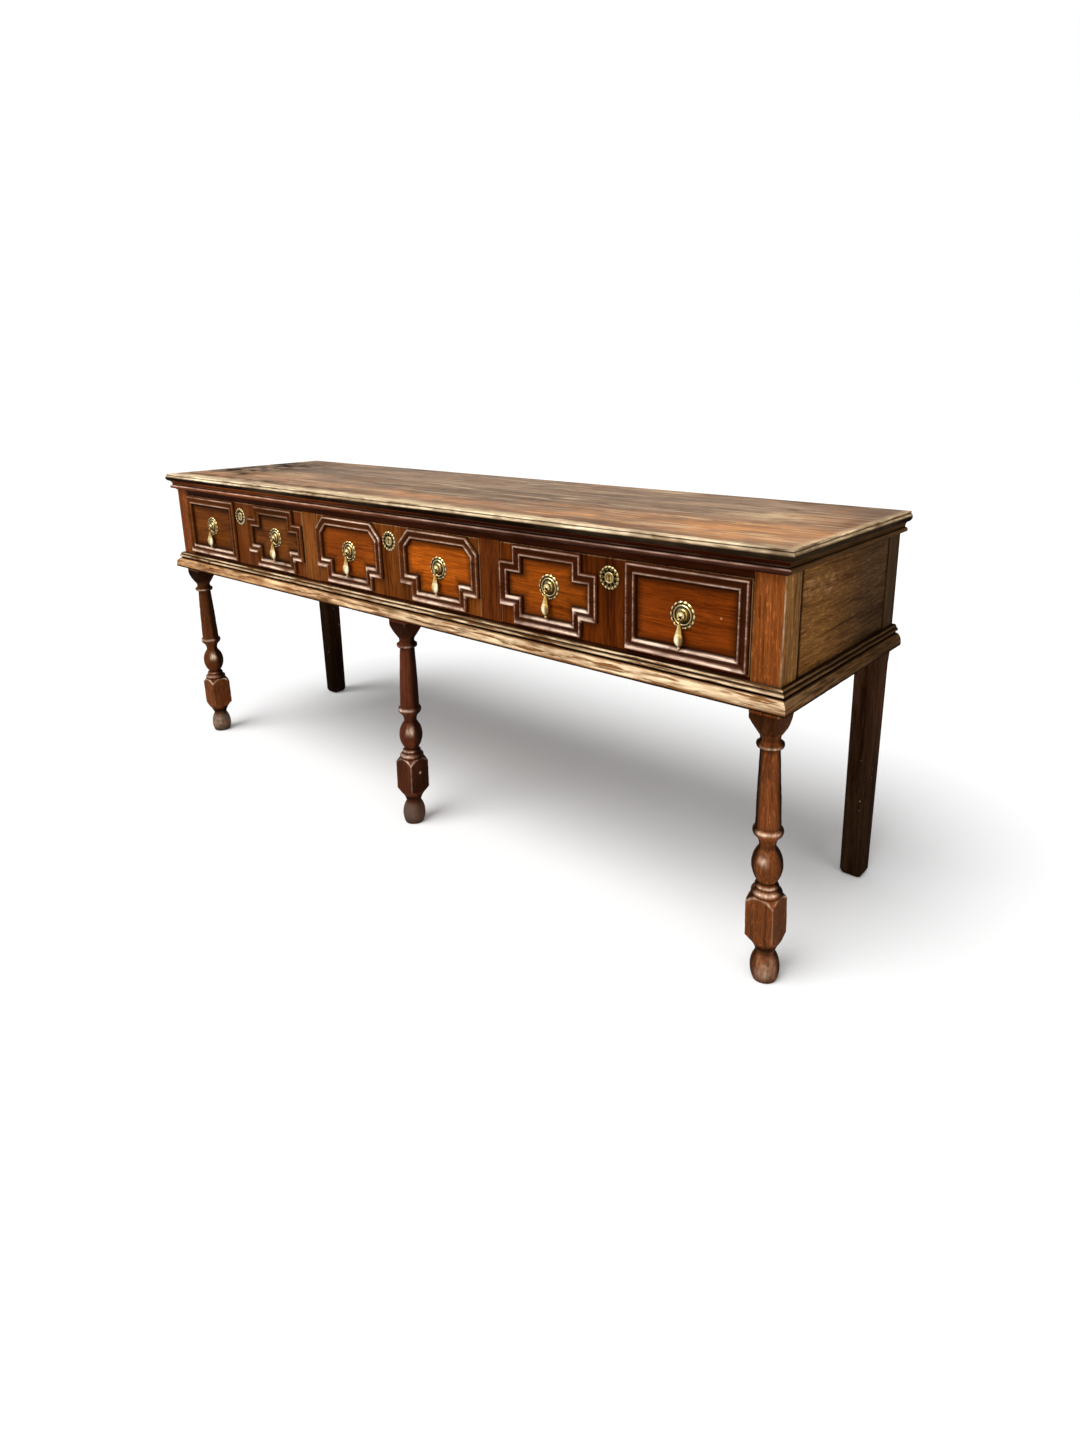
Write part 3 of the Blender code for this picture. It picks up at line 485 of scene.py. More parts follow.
def bow(start, end, rise, steps):
    """Points of an arc whose middle stands `rise` off the chord, to the left of the way from start to end."""
    start = Vector(start)
    chord = Vector(end) - start
    half = chord.length / 2
    along = chord.normalized()
    off = Vector((-along.y, along.x))
    turn = 2 * math.atan2(rise, half)
    radius = half / math.sin(turn)
    points = []
    for index in range(steps + 1):
        angle = turn * (2 * index / steps - 1)
        reach = half + radius * math.sin(angle)
        lift = radius * (math.cos(angle) - math.cos(turn))
        points.append(tuple(start + along * reach + off * lift))
    return points


def dense(points, longest):
    """A profile with no step longer than `longest`."""
    made = [Vector(points[0])]
    for point in points[1:]:
        start = made[-1].copy()
        step = Vector(point) - start
        parts = max(1, math.ceil(step.length / longest))
        made += [start + step * (index / parts) for index in range(1, parts + 1)]
    return np.array(made)


def relief(profile, column, reach, full):
    """How far each profile point stands out of (up to 1) or lies below (down to -1) its surroundings."""
    place = np.r_[0, np.cumsum(np.linalg.norm(np.diff(profile, axis=0), axis=1))]
    share = np.gradient(place) + 1e-9
    weight = np.exp(-((place[:, None] - place[None, :]) / reach) ** 2) * share[None, :]
    mean = weight @ profile[:, column] / weight.sum(1)
    return np.clip((profile[:, column] - mean) / full, -1, 1)


def uneven(points, scale, seed):
    """Smooth noise from about -1 to 1 at each point."""
    flat = np.asarray(points).reshape(-1, 3)
    values = [noise.noise(Vector(point) * scale + Vector((seed, seed * 1.7, seed * 2.3))) for point in flat]
    return np.array(values).reshape(np.asarray(points).shape[:-1])


def dents(points, *layers):
    """How deep each point is dented; a layer is (scale, seed, level, depth)."""
    total = 0
    for scale, seed, level, depth in layers:
        total = total + np.clip(uneven(points, scale, seed) - level, 0, 1) * depth
    return total


def smooth_step(low, high, value):
    share = np.clip((value - low) / (high - low), 0, 1)
    return share * share * (3 - 2 * share)


def ridge(value, middle, reach):
    """A smooth hump of 1 at the middle."""
    return np.exp(-((value - middle) / reach) ** 2)


# Meshes

def to_mesh(name, shape):
    """bmesh to mesh."""
    mesh = bpy.data.meshes.new(name)
    shape.to_mesh(mesh)
    shape.free()
    return mesh


def finish_mesh(name, shape, material, marks=None, sharp=38):
    """bmesh to mesh: faces out, smooth where the turn is gentle, marks as point attributes."""
    bmesh.ops.recalc_face_normals(shape, faces=shape.faces)
    mesh = to_mesh(name, shape)
    mesh.materials.append(material)
    mesh.shade_smooth()
    mesh.set_sharp_from_angle(angle=math.radians(sharp))
    for key, values in (marks or {}).items():
        layer = mesh.attributes.new(key, "FLOAT", "POINT")
        layer.data.foreach_set("value", np.asarray(values, np.float32).ravel())
    return mesh


def loft(name, rings, material, wear_and_highlight=0, grime_and_shade=0, fade_and_shine=0, dust=0, caps=True, loop=False, sharp=38):
    """Skin over rings of points, an array of ring by point by three; one mark may serve a ring or all."""
    count, around = rings.shape[:2]
    shape = bmesh.new()
    points = [shape.verts.new(place) for place in rings.reshape(-1, 3)]
    for ring in range(count if loop else count - 1):
        following = (ring + 1) % count
        for index in range(around):
            after = (index + 1) % around
            shape.faces.new((points[ring * around + index], points[ring * around + after],
                             points[following * around + after], points[following * around + index]))
    if caps and not loop:
        shape.faces.new(points[:around][::-1])
        shape.faces.new(points[-around:])
    # wear is rubbed wood and painted highlight, grime is dirt and painted shade, fade is bleaching and, on
    # brass, painted highlight
    marks = {"wear_and_highlight": wear_and_highlight, "grime_and_shade": grime_and_shade, "fade_and_shine": fade_and_shine, "dust": dust}
    marks = {key: np.broadcast_to(np.clip(values, 0, 1), (count, around)) for key, values in marks.items()}
    return finish_mesh(name, shape, material, marks, sharp)


def put_in_scene(name, data):
    made = bpy.data.objects.new(name, data)
    bpy.context.scene.collection.objects.link(made)
    return made


def place_piece(name, mesh, body, nodes=(), location=(0, 0, 0)):
    """Put a piece on its body, in place of the solids of some nodes."""
    made = put_in_scene(name, mesh)
    made.location = location
    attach(made, body)
    if nodes:
        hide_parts(*nodes)


def joined(name, meshes, material):
    """Several meshes as one, with their marks."""
    shape = bmesh.new()
    for mesh in meshes:
        shape.from_mesh(mesh)
    made = to_mesh(name, shape)
    made.materials.append(material)
    made.shade_smooth()
    made.set_sharp_from_angle(angle=math.radians(38))
    return made


def carve(name, mesh, cutter_mesh):
    """Mesh less the cutter, as a new mesh."""
    target = put_in_scene(name, mesh)
    cutter = put_in_scene(name + "_cutter", cutter_mesh)
    step = target.modifiers.new("carve", "BOOLEAN")
    step.solver = "EXACT"
    step.object = cutter
    graph = bpy.context.evaluated_depsgraph_get()
    done = bpy.data.meshes.new_from_object(target.evaluated_get(graph))
    done.name = name
    bpy.data.objects.remove(target)
    bpy.data.objects.remove(cutter)
    done.set_sharp_from_angle(angle=math.radians(38))
    return done


def tubes(name, outlines, near, far):
    """Prisms along Y from closed (x, z) outlines, all in one mesh, for cutting."""
    shape = bmesh.new()
    for outline in outlines:
        front = [shape.verts.new((x, near, z)) for x, z in outline]
        back = [shape.verts.new((x, far, z)) for x, z in outline]
        count = len(outline)
        for index in range(count):
            after = (index + 1) % count
            shape.faces.new((front[index], front[after], back[after], back[index]))
        shape.faces.new(front[::-1])
        shape.faces.new(back)
    bmesh.ops.recalc_face_normals(shape, faces=shape.faces)
    return to_mesh(name, shape)


# Top

# Patches of the top as (x, y, reach along x, reach along y, amount)
BLEACHED = [(0.72, -0.14, 0.34, 0.09, 1.0), (0.88, -0.02, 0.10, 0.20, 0.55),
            (0.20, -0.17, 0.36, 0.06, 0.55), (-0.62, -0.09, 0.15, 0.10, 0.75),
            (-0.28, -0.13, 0.20, 0.07, 0.45), (-0.01, 0.11, 0.06, 0.04, 0.40),
            (-0.86, -0.17, 0.12, 0.05, 1.0)]
RUBBED = [(0.79, 0.045, 0.07, 0.045, 0.75), (-0.66, -0.04, 0.10, 0.05, 0.45),
          (0.30, 0.016, 0.07, 0.012, 0.50), (0.0, 0.016, 0.07, 0.012, 0.45),
          (0.65, -0.064, 0.22, 0.008, 0.50)]
STAINED = [(-0.90, 0.09, 0.08, 0.05, 0.95), (-0.78, -0.12, 0.05, 0.022, 0.85),
           (-0.52, -0.175, 0.07, 0.018, 0.75), (-0.93, -0.07, 0.05, 0.06, 0.60),
           (0.81, 0.13, 0.06, 0.03, 0.55), (0.93, 0.06, 0.025, 0.13, 0.45),
           (-0.86, 0.04, 0.15, 0.18, 0.85)]


def top_edge():
    """Section of the top's moulded edge, as (out from the carcase, height)."""
    thumb = bow((OVERHANG - 0.0056, HEIGHT), (OVERHANG - 0.0026, HEIGHT - 0.0028), 0.0008, 6)
    quirk = [(OVERHANG - 0.0040, HEIGHT - 0.0036)]
    roll = bow((OVERHANG - 0.0028, HEIGHT - 0.0046), (OVERHANG - 0.0028, HEIGHT - 0.0174), 0.0028, 12)
    return np.array(thumb + quirk + roll + [(OVERHANG - 0.0040, TOP_UNDERSIDE)])


def plank_joints(x):
    """Where the joints between the three boards of the top lie, at a place along it."""
    return (-0.038 - 0.036 * x + 0.0016 * math.sin(5 * x), 0.024 - 0.010 * x + 0.0012 * math.sin(4 * x + 1))


def patches(places, spots):
    total = np.zeros(places.shape[:-1])
    for x, y, reach_x, reach_y, amount in spots:
        away = ((places[..., 0] - x) / reach_x) ** 2 + ((places[..., 1] - y) / reach_y) ** 2
        total += amount * np.exp(-away)
    return total


def top_marks(places, front, side, groove):
    """Rubbed, dirty and bleached shares of the top's upper face."""
    x, y = places[..., 0], places[..., 1]
    lengthwise = places * (1, 2.4, 1)
    broad = uneven(lengthwise, 6.0, 8.0)
    fine = uneven(lengthwise, 24.0, 2.0) + 0.6 * uneven(lengthwise, 70.0, 4.0)
    from_front = y - front
    from_side = side - np.abs(x)
    band = 0.034 - 0.020 * smooth_step(0.1, 0.8, x)
    wear_and_highlight = 0.95 * (1 - smooth_step(band - 0.012, band + 0.010, from_front + 0.010 * broad + 0.010 * fine))
    wear_and_highlight += 0.45 * (1 - smooth_step(0.003, 0.016, from_side + 0.006 * fine))
    wear_and_highlight += patches(places, RUBBED) * np.clip(0.55 + 1.1 * fine, 0, 1)
    fade_and_shine = patches(places, BLEACHED) * np.clip(0.80 + 0.6 * broad + 0.5 * fine, 0, 1)
    fade_and_shine += 0.35 * smooth_step(0.1, 0.7, broad + 0.5 * fine)
    fade_and_shine *= 1 - 0.7 * smooth_step(-0.08, 0.08, y) * (1 - smooth_step(0.2, 0.8, x))
    grime_and_shade = 0.95 * groove + patches(places, STAINED) * np.clip(0.55 + 1.0 * fine + 0.6 * broad, 0, 1)
    grime_and_shade += 0.22 * smooth_step(0.2, 0.9, uneven(lengthwise, 11.0, 6.0) + 0.5 * fine)
    behind_band = ridge(from_front, band + 0.024, 0.011) * (1 - smooth_step(-0.5, 0.3, x))
    grime_and_shade += 0.75 * behind_band * np.clip(0.6 + 1.2 * fine, 0, 1)
    return np.clip(wear_and_highlight, 0, 1), np.clip(grime_and_shade, 0, 1), np.clip(fade_and_shine, 0, 1)


def top_rows(front):
    """Depths of the rows of points on the top, close together at the front edge and at the joints."""
    first, second = plank_joints(0.0)
    joint = np.array((-0.0016, 0, 0.0016))
    beside = 0.006
    band = front + 0.036
    return np.r_[np.linspace(front, band, 10)[:-1], np.linspace(band, first - beside, 18), first + joint,
                 np.linspace(first + beside, second - beside, 8), second + joint,
                 np.linspace(second + beside, REAR_Y, 24)]


def top_grid(across, rows, front, side):
    """Points of the top's upper face, row by row, and how far the joints are open at each."""
    rest = plank_joints(0.0)
    grid = np.zeros((len(rows), len(across), 3))
    grid[..., 0] = across[None, :]
    groove = np.zeros(grid.shape[:2])
    for column, x in enumerate(across):
        grid[:, column, 1] = np.interp(rows, (front, *rest, REAR_Y), (front, *plank_joints(x), REAR_Y))
        for order, joint in enumerate(rest):
            open_share = np.clip(0.55 + 0.9 * noise.noise(Vector((x * 4, order * 9, 2))), 0, 1)
            groove[:, column] += open_share * (np.abs(rows - joint) < 1e-6)
    edge = np.minimum(grid[..., 1] - front, side - np.abs(grid[..., 0]))
    sag = 0.0003 + 0.0005 * (1 + uneven(grid * (1, 3, 1), 4.0, 3.0)) + 0.0002 * (1 + uneven(grid, 40.0, 5.0))
    grid[..., 2] = HEIGHT - sag * smooth_step(0, 0.02, edge) - 0.0014 * groove
    return grid, groove


def edge_ring(reach, height, across, rows, front, side):
    """A ring of points round the top's moulded edge, with its wear and grime; the grime is painted shade in
    the quirk and on the lower part of the edge.
    """
    wide = HALF_WIDTH + reach
    near = FACE_Y - reach
    xs = across / side * wide
    ys = near + (rows - front) / (REAR_Y - front) * (REAR_Y - near)
    ring = [(x, near, height) for x in xs[:-1]] + [(wide, y, height) for y in ys[:-1]]
    ring += [(x, REAR_Y, height) for x in xs[:0:-1]] + [(-wide, y, height) for y in ys[:0:-1]]
    ring = np.array(ring)
    at_back = ring[:, 1] > REAR_Y - 1e-6
    on_end = np.abs(ring[:, 0]) > wide - 1e-9
    on_front = ring[:, 1] < near + 1e-9
    depth = dents(ring, (60.0, 4.0, 0.05, 0.0020), (14.0, 7.0, 0, 0.0009))
    inner = np.where(at_back, 0, depth) * (0.25 if height > HEIGHT - 1e-6 else 1.0)
    ring[:, 0] -= np.sign(ring[:, 0]) * np.where(on_end, inner, 0)
    ring[:, 1] += np.where(on_front, inner, 0)
    patchy = np.clip(0.76 + 0.6 * uneven(ring, 9.0, 3.0) + 0.5 * uneven(ring, 50.0, 6.0), 0, 1.1)
    below = HEIGHT - height
    front_tail = smooth_step(0.0076, 0.0108, below)
    end_tail = smooth_step(0.0065, 0.0105, below)
    bare = np.where(on_front, 1.0 - 0.9 * front_tail, 0.80 - 0.7 * end_tail)
    # Painted shade in the quirk and on the lower, shadowed part of the edge
    dirty = ridge(below, 0.0037, 0.0010) + 0.9 * np.where(on_front, front_tail, end_tail)
    return ring, np.where(at_back, 0.0, bare * patchy), np.where(at_back, 0.3, dirty)


def border_index(row, column, last_row, last_column):
    """Place on the first edge ring of a grid point on the border, or None."""
    if row == 0 and column < last_column:
        return column
    if column == last_column and row < last_row:
        return last_column + row
    if row == last_row and column > 0:
        return last_column + last_row + (last_column - column)
    if column == 0 and row > 0:
        return 2 * last_column + last_row + (last_row - row)
    return None


def lay_boards(shape, edge_points, grid, marks):
    """Fill the first edge ring with the grid of the upper face, and mark its points."""
    layers = [shape.verts.layers.float[key] for key in ("wear_and_highlight", "grime_and_shade", "fade_and_shine")]
    last_row, last_column = grid.shape[0] - 1, grid.shape[1] - 1
    points = {}
    for row, column in np.ndindex(grid.shape[:2]):
        index = border_index(row, column, last_row, last_column)
        points[row, column] = shape.verts.new(grid[row, column]) if index is None else edge_points[index]
    for spot, made in points.items():
        for layer, values in zip(layers, marks):
            made[layer] = values[spot]
    for row, column in np.ndindex(last_row, last_column):
        shape.faces.new((points[row, column], points[row, column + 1],
                         points[row + 1, column + 1], points[row + 1, column]))


def top_board():
    profile = top_edge()
    out = profile[0, 0]
    side = HALF_WIDTH + out
    front = FACE_Y - out
    across = np.linspace(-side, side, 321)
    rows = top_rows(front)
    rings, wear_and_highlight, grime_and_shade = zip(*(edge_ring(*point, across, rows, front, side) for point in profile))
    edge = loft("top_edge", np.array(rings), FINISH["top"], np.array(wear_and_highlight), np.array(grime_and_shade), caps=False)
    shape = bmesh.new()
    shape.from_mesh(edge)
    for face in shape.faces:
        middle = face.calc_center_median()
        if middle.y < REAR_Y - 1e-4:
            face.material_index = 2 if abs(middle.x) - side > front - middle.y else 1
    edge_points = list(shape.verts)
    shape.faces.new(edge_points[-len(rings[0]):])
    grid, groove = top_grid(across, rows, front, side)
    lay_boards(shape, edge_points, grid, top_marks(grid, front, side, groove))
    mesh = finish_mesh("top_planks", shape, FINISH["top"])
    mesh.materials.append(FINISH["top_front"])
    mesh.materials.append(FINISH["top_end"])
    place_piece("top_planks", mesh, "carcase", ["top_board"])


# Cornice and base mouldings

INWARD = {"front": (0, 1, 0), "left": (1, 0, 0), "right": (-1, 0, 0)}


def cornice_profile():
    top = TOP_UNDERSIDE - GAP
    cove = bow((0.0150, top), (0.0080, CORNICE_BOTTOM + 0.0155), -0.0018, 10)
    fillet = [(0.0080, CORNICE_BOTTOM + 0.0128)]
    bead = bow((0.0090, CORNICE_BOTTOM + 0.0128), (0.0090, CORNICE_BOTTOM + 0.0036), 0.0042, 14)
    tail = bow((0.0070, CORNICE_BOTTOM + 0.0036), (0.0020, CORNICE_BOTTOM), -0.0010, 6)
    return [(GAP, top)] + cove + fillet + bead + tail + [(GAP, CORNICE_BOTTOM)]


def base_profile():
    upper = bow((0.0040, BASE_TOP), (0.0090, BASE_TOP - 0.0052), 0.0016, 8)
    bead = bow((0.0082, BASE_TOP - 0.0062), (0.0082, BASE_TOP - 0.0138), 0.0042, 14)
    groove = [(0.0082, BASE_TOP - 0.0168)]
    ovolo = bow((0.0120, BASE_TOP - 0.0176), (OVERHANG - 0.0008, BASE_TOP - 0.0330), 0.0022, 12)
    nose = bow((OVERHANG - 0.0004, BASE_TOP - 0.0344), (OVERHANG - 0.0016, CARCASE_BOTTOM), 0.0006, 5)
    return [(GAP, BASE_TOP)] + upper + bead + groove + ovolo + nose + [(GAP, CARCASE_BOTTOM)]


def base_marks(profile):
    """Wear and grime down the base moulding's section: the rounds are rubbed pale and lit by painted
    highlights and the ovolo is rubbed; the hollows and the groove are darkened by painted shade, and it is
    darker along the bottom.
    """
    below = BASE_TOP - profile[:, 1]
    ovolo = smooth_step(0.0176, 0.0200, below) * (1 - smooth_step(0.0345, 0.0380, below))
    ridges = ridge(below, 0.0024, 0.0017) + ridge(below, 0.0098, 0.0026)
    wear_and_highlight = 1.6 * ridges + 0.4 * ridge(below, 0.0190, 0.0014) + 0.85 * ovolo
    # Painted shade in the hollows and the groove
    hollow_shade = np.clip(1.0 - 1.1 * ridges, 0, 1) * (1 - smooth_step(0.0160, 0.0176, below))
    grime_and_shade = hollow_shade + ridge(below, 0.0155, 0.0017) + smooth_step(0.0365, 0.0400, below)
    return wear_and_highlight, grime_and_shade


def cornice_marks(profile):
    """Wear and grime down the cornice's section: the bead, the fillet and the tail are rubbed pale and lit by
    painted highlights, and the hollows and the part under the bead are darkened by painted shade.
    """
    stand = relief(profile, 0, 0.0045, 0.0022)
    above = profile[:, 1] - CORNICE_BOTTOM
    # Painted highlight lines on the bead, the fillet and the tail, over a little wear on the rounds
    wear_and_highlight = 0.12 * np.clip(stand, 0, 1) + ridge(above, 0.0110, 0.0010)
    wear_and_highlight += 0.30 * ridge(above, 0.0155, 0.0009) + 0.40 * ridge(above, 0.0036, 0.0008)
    # Painted shade in the hollows and under the bead
    grime_and_shade = np.clip(-stand * 1.6, 0, 1) + 0.5 * ridge(above, 0.0045, 0.0020)
    return wear_and_highlight, grime_and_shade


def moulding_run(kind, word, material, place, stations, seed, node):
    """A straight moulding with mitred ends; place(t, u, v) gives a point at t from 0 to 1 along it."""
    name = f"{kind}_run_{word}"
    at_end = word != "front"
    profile = dense(base_profile() if kind == "base" else cornice_profile(), 0.0022)
    along = np.linspace(0, 1, stations)
    rings = np.array([[place(t, u, v) for u, v in profile] for t in along])
    off_mitres = np.sin(np.pi * along) ** 0.25
    proud = smooth_step(0.002, 0.008, profile[:, 0])
    depth = dents(rings, (26.0, seed, 0, 0.0008), (90.0, seed + 3, 0.1, 0.0011))
    rings += np.array(INWARD[word]) * (depth * off_mitres[:, None] * proud[None, :])[..., None]
    x, y = rings[..., 0], rings[..., 1]
    patchy = 0.82 + 0.40 * uneven(rings * (1, 1, 4), 8.0, seed + 9)
    patchy += 0.70 * uneven(rings * (1, 1, 6), 40.0, seed + 5)
    if kind == "base":
        wear_and_highlight, grime_and_shade = base_marks(profile)
        patchy += 0.9 * (1 - smooth_step(-0.245, -0.170, y)) * at_end
        patchy *= 0.62 + 0.38 * smooth_step(-0.9, 0.4, x)
    else:
        wear_and_highlight, grime_and_shade = cornice_marks(profile)
        patchy *= 1.10 - 0.52 * smooth_step(-0.9, 0.6, x)
    fading = 1 - smooth_step(-0.210, 0.050, y) if at_end else smooth_step(0.35, -0.75, x)
    fading = fading * (0.8 + 0.5 * uneven(rings, 7.0, seed))
    if kind == "base" and not at_end:
        on_ovolo = smooth_step(0.0165, 0.0190, BASE_TOP - profile[:, 1])[None, :]
        fading *= on_ovolo
        streaks = np.clip(1.9 * uneven(rings * (1, 1, 9), 15.0, seed + 13) - 0.45, 0, 1)
        grime_and_shade = np.maximum(grime_and_shade, 0.65 * streaks * on_ovolo * ridge(x, 0.0, 0.42))
    mesh = loft(name, rings, material, wear_and_highlight * patchy, grime_and_shade, fading, sharp=42)
    place_piece(name, mesh, "carcase", [node])


def mouldings():
    def front(t, u, v):
        return ((2 * t - 1) * (HALF_WIDTH + u - GAP), FACE_Y - u, v)

    moulding_run("base", "front", FINISH["worn"], front, 161, 1.0, "base_moulding_front")
    moulding_run("cornice", "front", FINISH["cornice"], front, 161, 2.0, "front_top_rail")
    for word, side in SIDES.items():
        def end(t, u, v, side=side):
            near = FACE_Y - u + GAP
            return (side * (HALF_WIDTH + u), near + t * (REAR_Y - near), v)

        moulding_run("base", word, FINISH["worn_end"], end, 48, 3.0 + side, "base_moulding_" + word)
        moulding_run("cornice", word, FINISH["cornice_end"], end, 48, 6.0 + side, "cornice_moulding_" + word)


def front_rail():
    """Rail behind the front cornice, with the three mortises that the lock bolts rise into."""
    side = STILE_INNER - GAP
    low, high = OPENING_TOP, TOP_UNDERSIDE - 0.001
    edge = 0.0008
    section = [(FACE_Y, low + edge), (FACE_Y + edge, low), (FACE_Y + RAIL_THICKNESS, low),
               (FACE_Y + RAIL_THICKNESS, high), (FACE_Y, high)]
    rings = np.array([[(x, y, z) for y, z in section] for x in np.linspace(-side, side, 41)])
    mesh = loft("rail_over_drawers", rings, FINISH["rail"], sharp=30)
    room = 0.0015
    size = (BOLT_WIDTH + 2 * room, BOLT_DEPTH + 2 * room, BOLT_TRAVEL + 0.010)
    shape = bmesh.new()
    for middle in DRAWERS.values():
        box = bmesh.ops.create_cube(shape, size=1.0)
        bmesh.ops.scale(shape, vec=size, verts=box["verts"])
        bmesh.ops.translate(shape, vec=(middle + KEYHOLE_X, BOLT_Y, LOCK_TOP + room), verts=box["verts"])
    cut = carve("rail_over_drawers", mesh, to_mesh("mortises", shape))
    place_piece("rail_over_drawers", cut, "carcase")


# Legs

# Heights on the legs where their shape or wear changes
SQUARE_BOTTOM = 0.455
BULB_HEIGHT = 0.2220
HIGHLIGHT_HEIGHT = 0.2365
COLLAR_BOTTOM = 0.1650
BLOCK_TOP = 0.166
ARRIS_BOTTOM = 0.130
BLOCK_BOTTOM = 0.080
ANKLE_HEIGHT = 0.0655
FOOT_HEIGHT = 0.0260
# Half of a square that is too wide to cut the turnings
UNCUT = 0.060
# Lean of each foot along X and Y, and the ways that its lit side and the painted highlight on its bulb face,
# in degrees from X. Then how bright that highlight is, how rubbed the block's corner and the foot are, how
# dark the leg is with dirt and painted shade, how dark its bulb, its cup with painted shade under the base,
# its block, and the block's right face with painted shade are, and how dusty the leg and its foot.
LEGS = {
    "left": {"lean": (0.005, 0.001), "lit_side": -61, "spot": -27, "highlight_level": 1.15, "corner": 0.07,
             "foot": 0.26, "dirt": 0.40, "bulb": 0.42, "cup": 0.90, "block": 0.18, "right_face_shade": 0.07,
             "dust": 0.12, "foot_dust": 0.92},
    "middle": {"lean": (0.003, -0.014), "lit_side": -72, "spot": -45, "highlight_level": 1.00, "corner": 0.38,
               "foot": 0.03, "dirt": 0.06, "bulb": 0.22, "cup": 0.74, "block": 0.44, "right_face_shade": 0.28,
               "dust": 0.05, "foot_dust": 0.66},
    "right": {"lean": (0.016, -0.004), "lit_side": -62, "spot": -80, "highlight_level": 0.38, "corner": 0.09,
              "foot": 0.28, "dirt": 0.0, "bulb": 0.36, "cup": 0.66, "block": 0.22, "right_face_shade": 0.20,
              "dust": 0.12, "foot_dust": 0.12},
}
# Ring, flange, large and small collar of a leg, rubbed bright and lit by a painted highlight, as (height,
# reach, amount)
RUBBED_AND_HIGHLIGHTED_TURNINGS = [(0.2870, 0.0026, 0.95), (0.4395, 0.0020, 0.75),
                   (0.1735, 0.0023, 0.84), (0.1835, 0.0017, 0.70)]
# The way that the sides of the legs face that are farthest from the light, in degrees from X
FAR_SIDE = 145


def leg_profile(top):
    """Radius and height down a leg; the square of the stock cuts it back where it is wider than that."""
    wide = LEG_SIDE * 0.78
    square = [(wide, top), (wide, LEAN_START)]
    cup = bow((0.0420, 0.4965), (0.0182, 0.4570), 0.0010, 10)
    neck = [(0.0174, 0.4535)]
    flange_hollow = bow((0.0172, 0.4515), (0.0216, 0.4448), -0.0010, 6)
    flange = bow((0.0230, 0.4440), (0.0226, 0.4368), 0.0008, 6)
    column = bow((0.0168, 0.4350), (0.0222, 0.2915), 0.0006, 12)
    ring = bow((0.0252, 0.2900), (0.0240, 0.2775), 0.0020, 10)
    ring_hollow = bow((0.0226, 0.2760), (0.0152, 0.2625), -0.0014, 6)
    waist = [(0.0148, 0.2605), (0.0147, 0.2590), (0.0149, 0.2570)]
    bulb = bow((0.0156, 0.2545), (0.0158, 0.1895), 0.0116, 24)
    small_collar = bow((0.0172, 0.1870), (0.0200, 0.1785), 0.0026, 9)
    large_collar = bow((0.0222, 0.1765), (0.0258, 0.1655), 0.0034, 10)
    block = [(0.0285, 0.1645), (wide, 0.1485), (wide, 0.0925)]
    shoulder = bow((0.0420, 0.0910), (0.0172, 0.0560), -0.0040, 12)
    foot = bow((0.0170, 0.0545), (0.0212, 0.0), 0.0070, 20)
    return (square + cup + neck + flange_hollow + flange + column + ring + ring_hollow + waist + bulb
            + small_collar + large_collar + block + shoulder + foot)


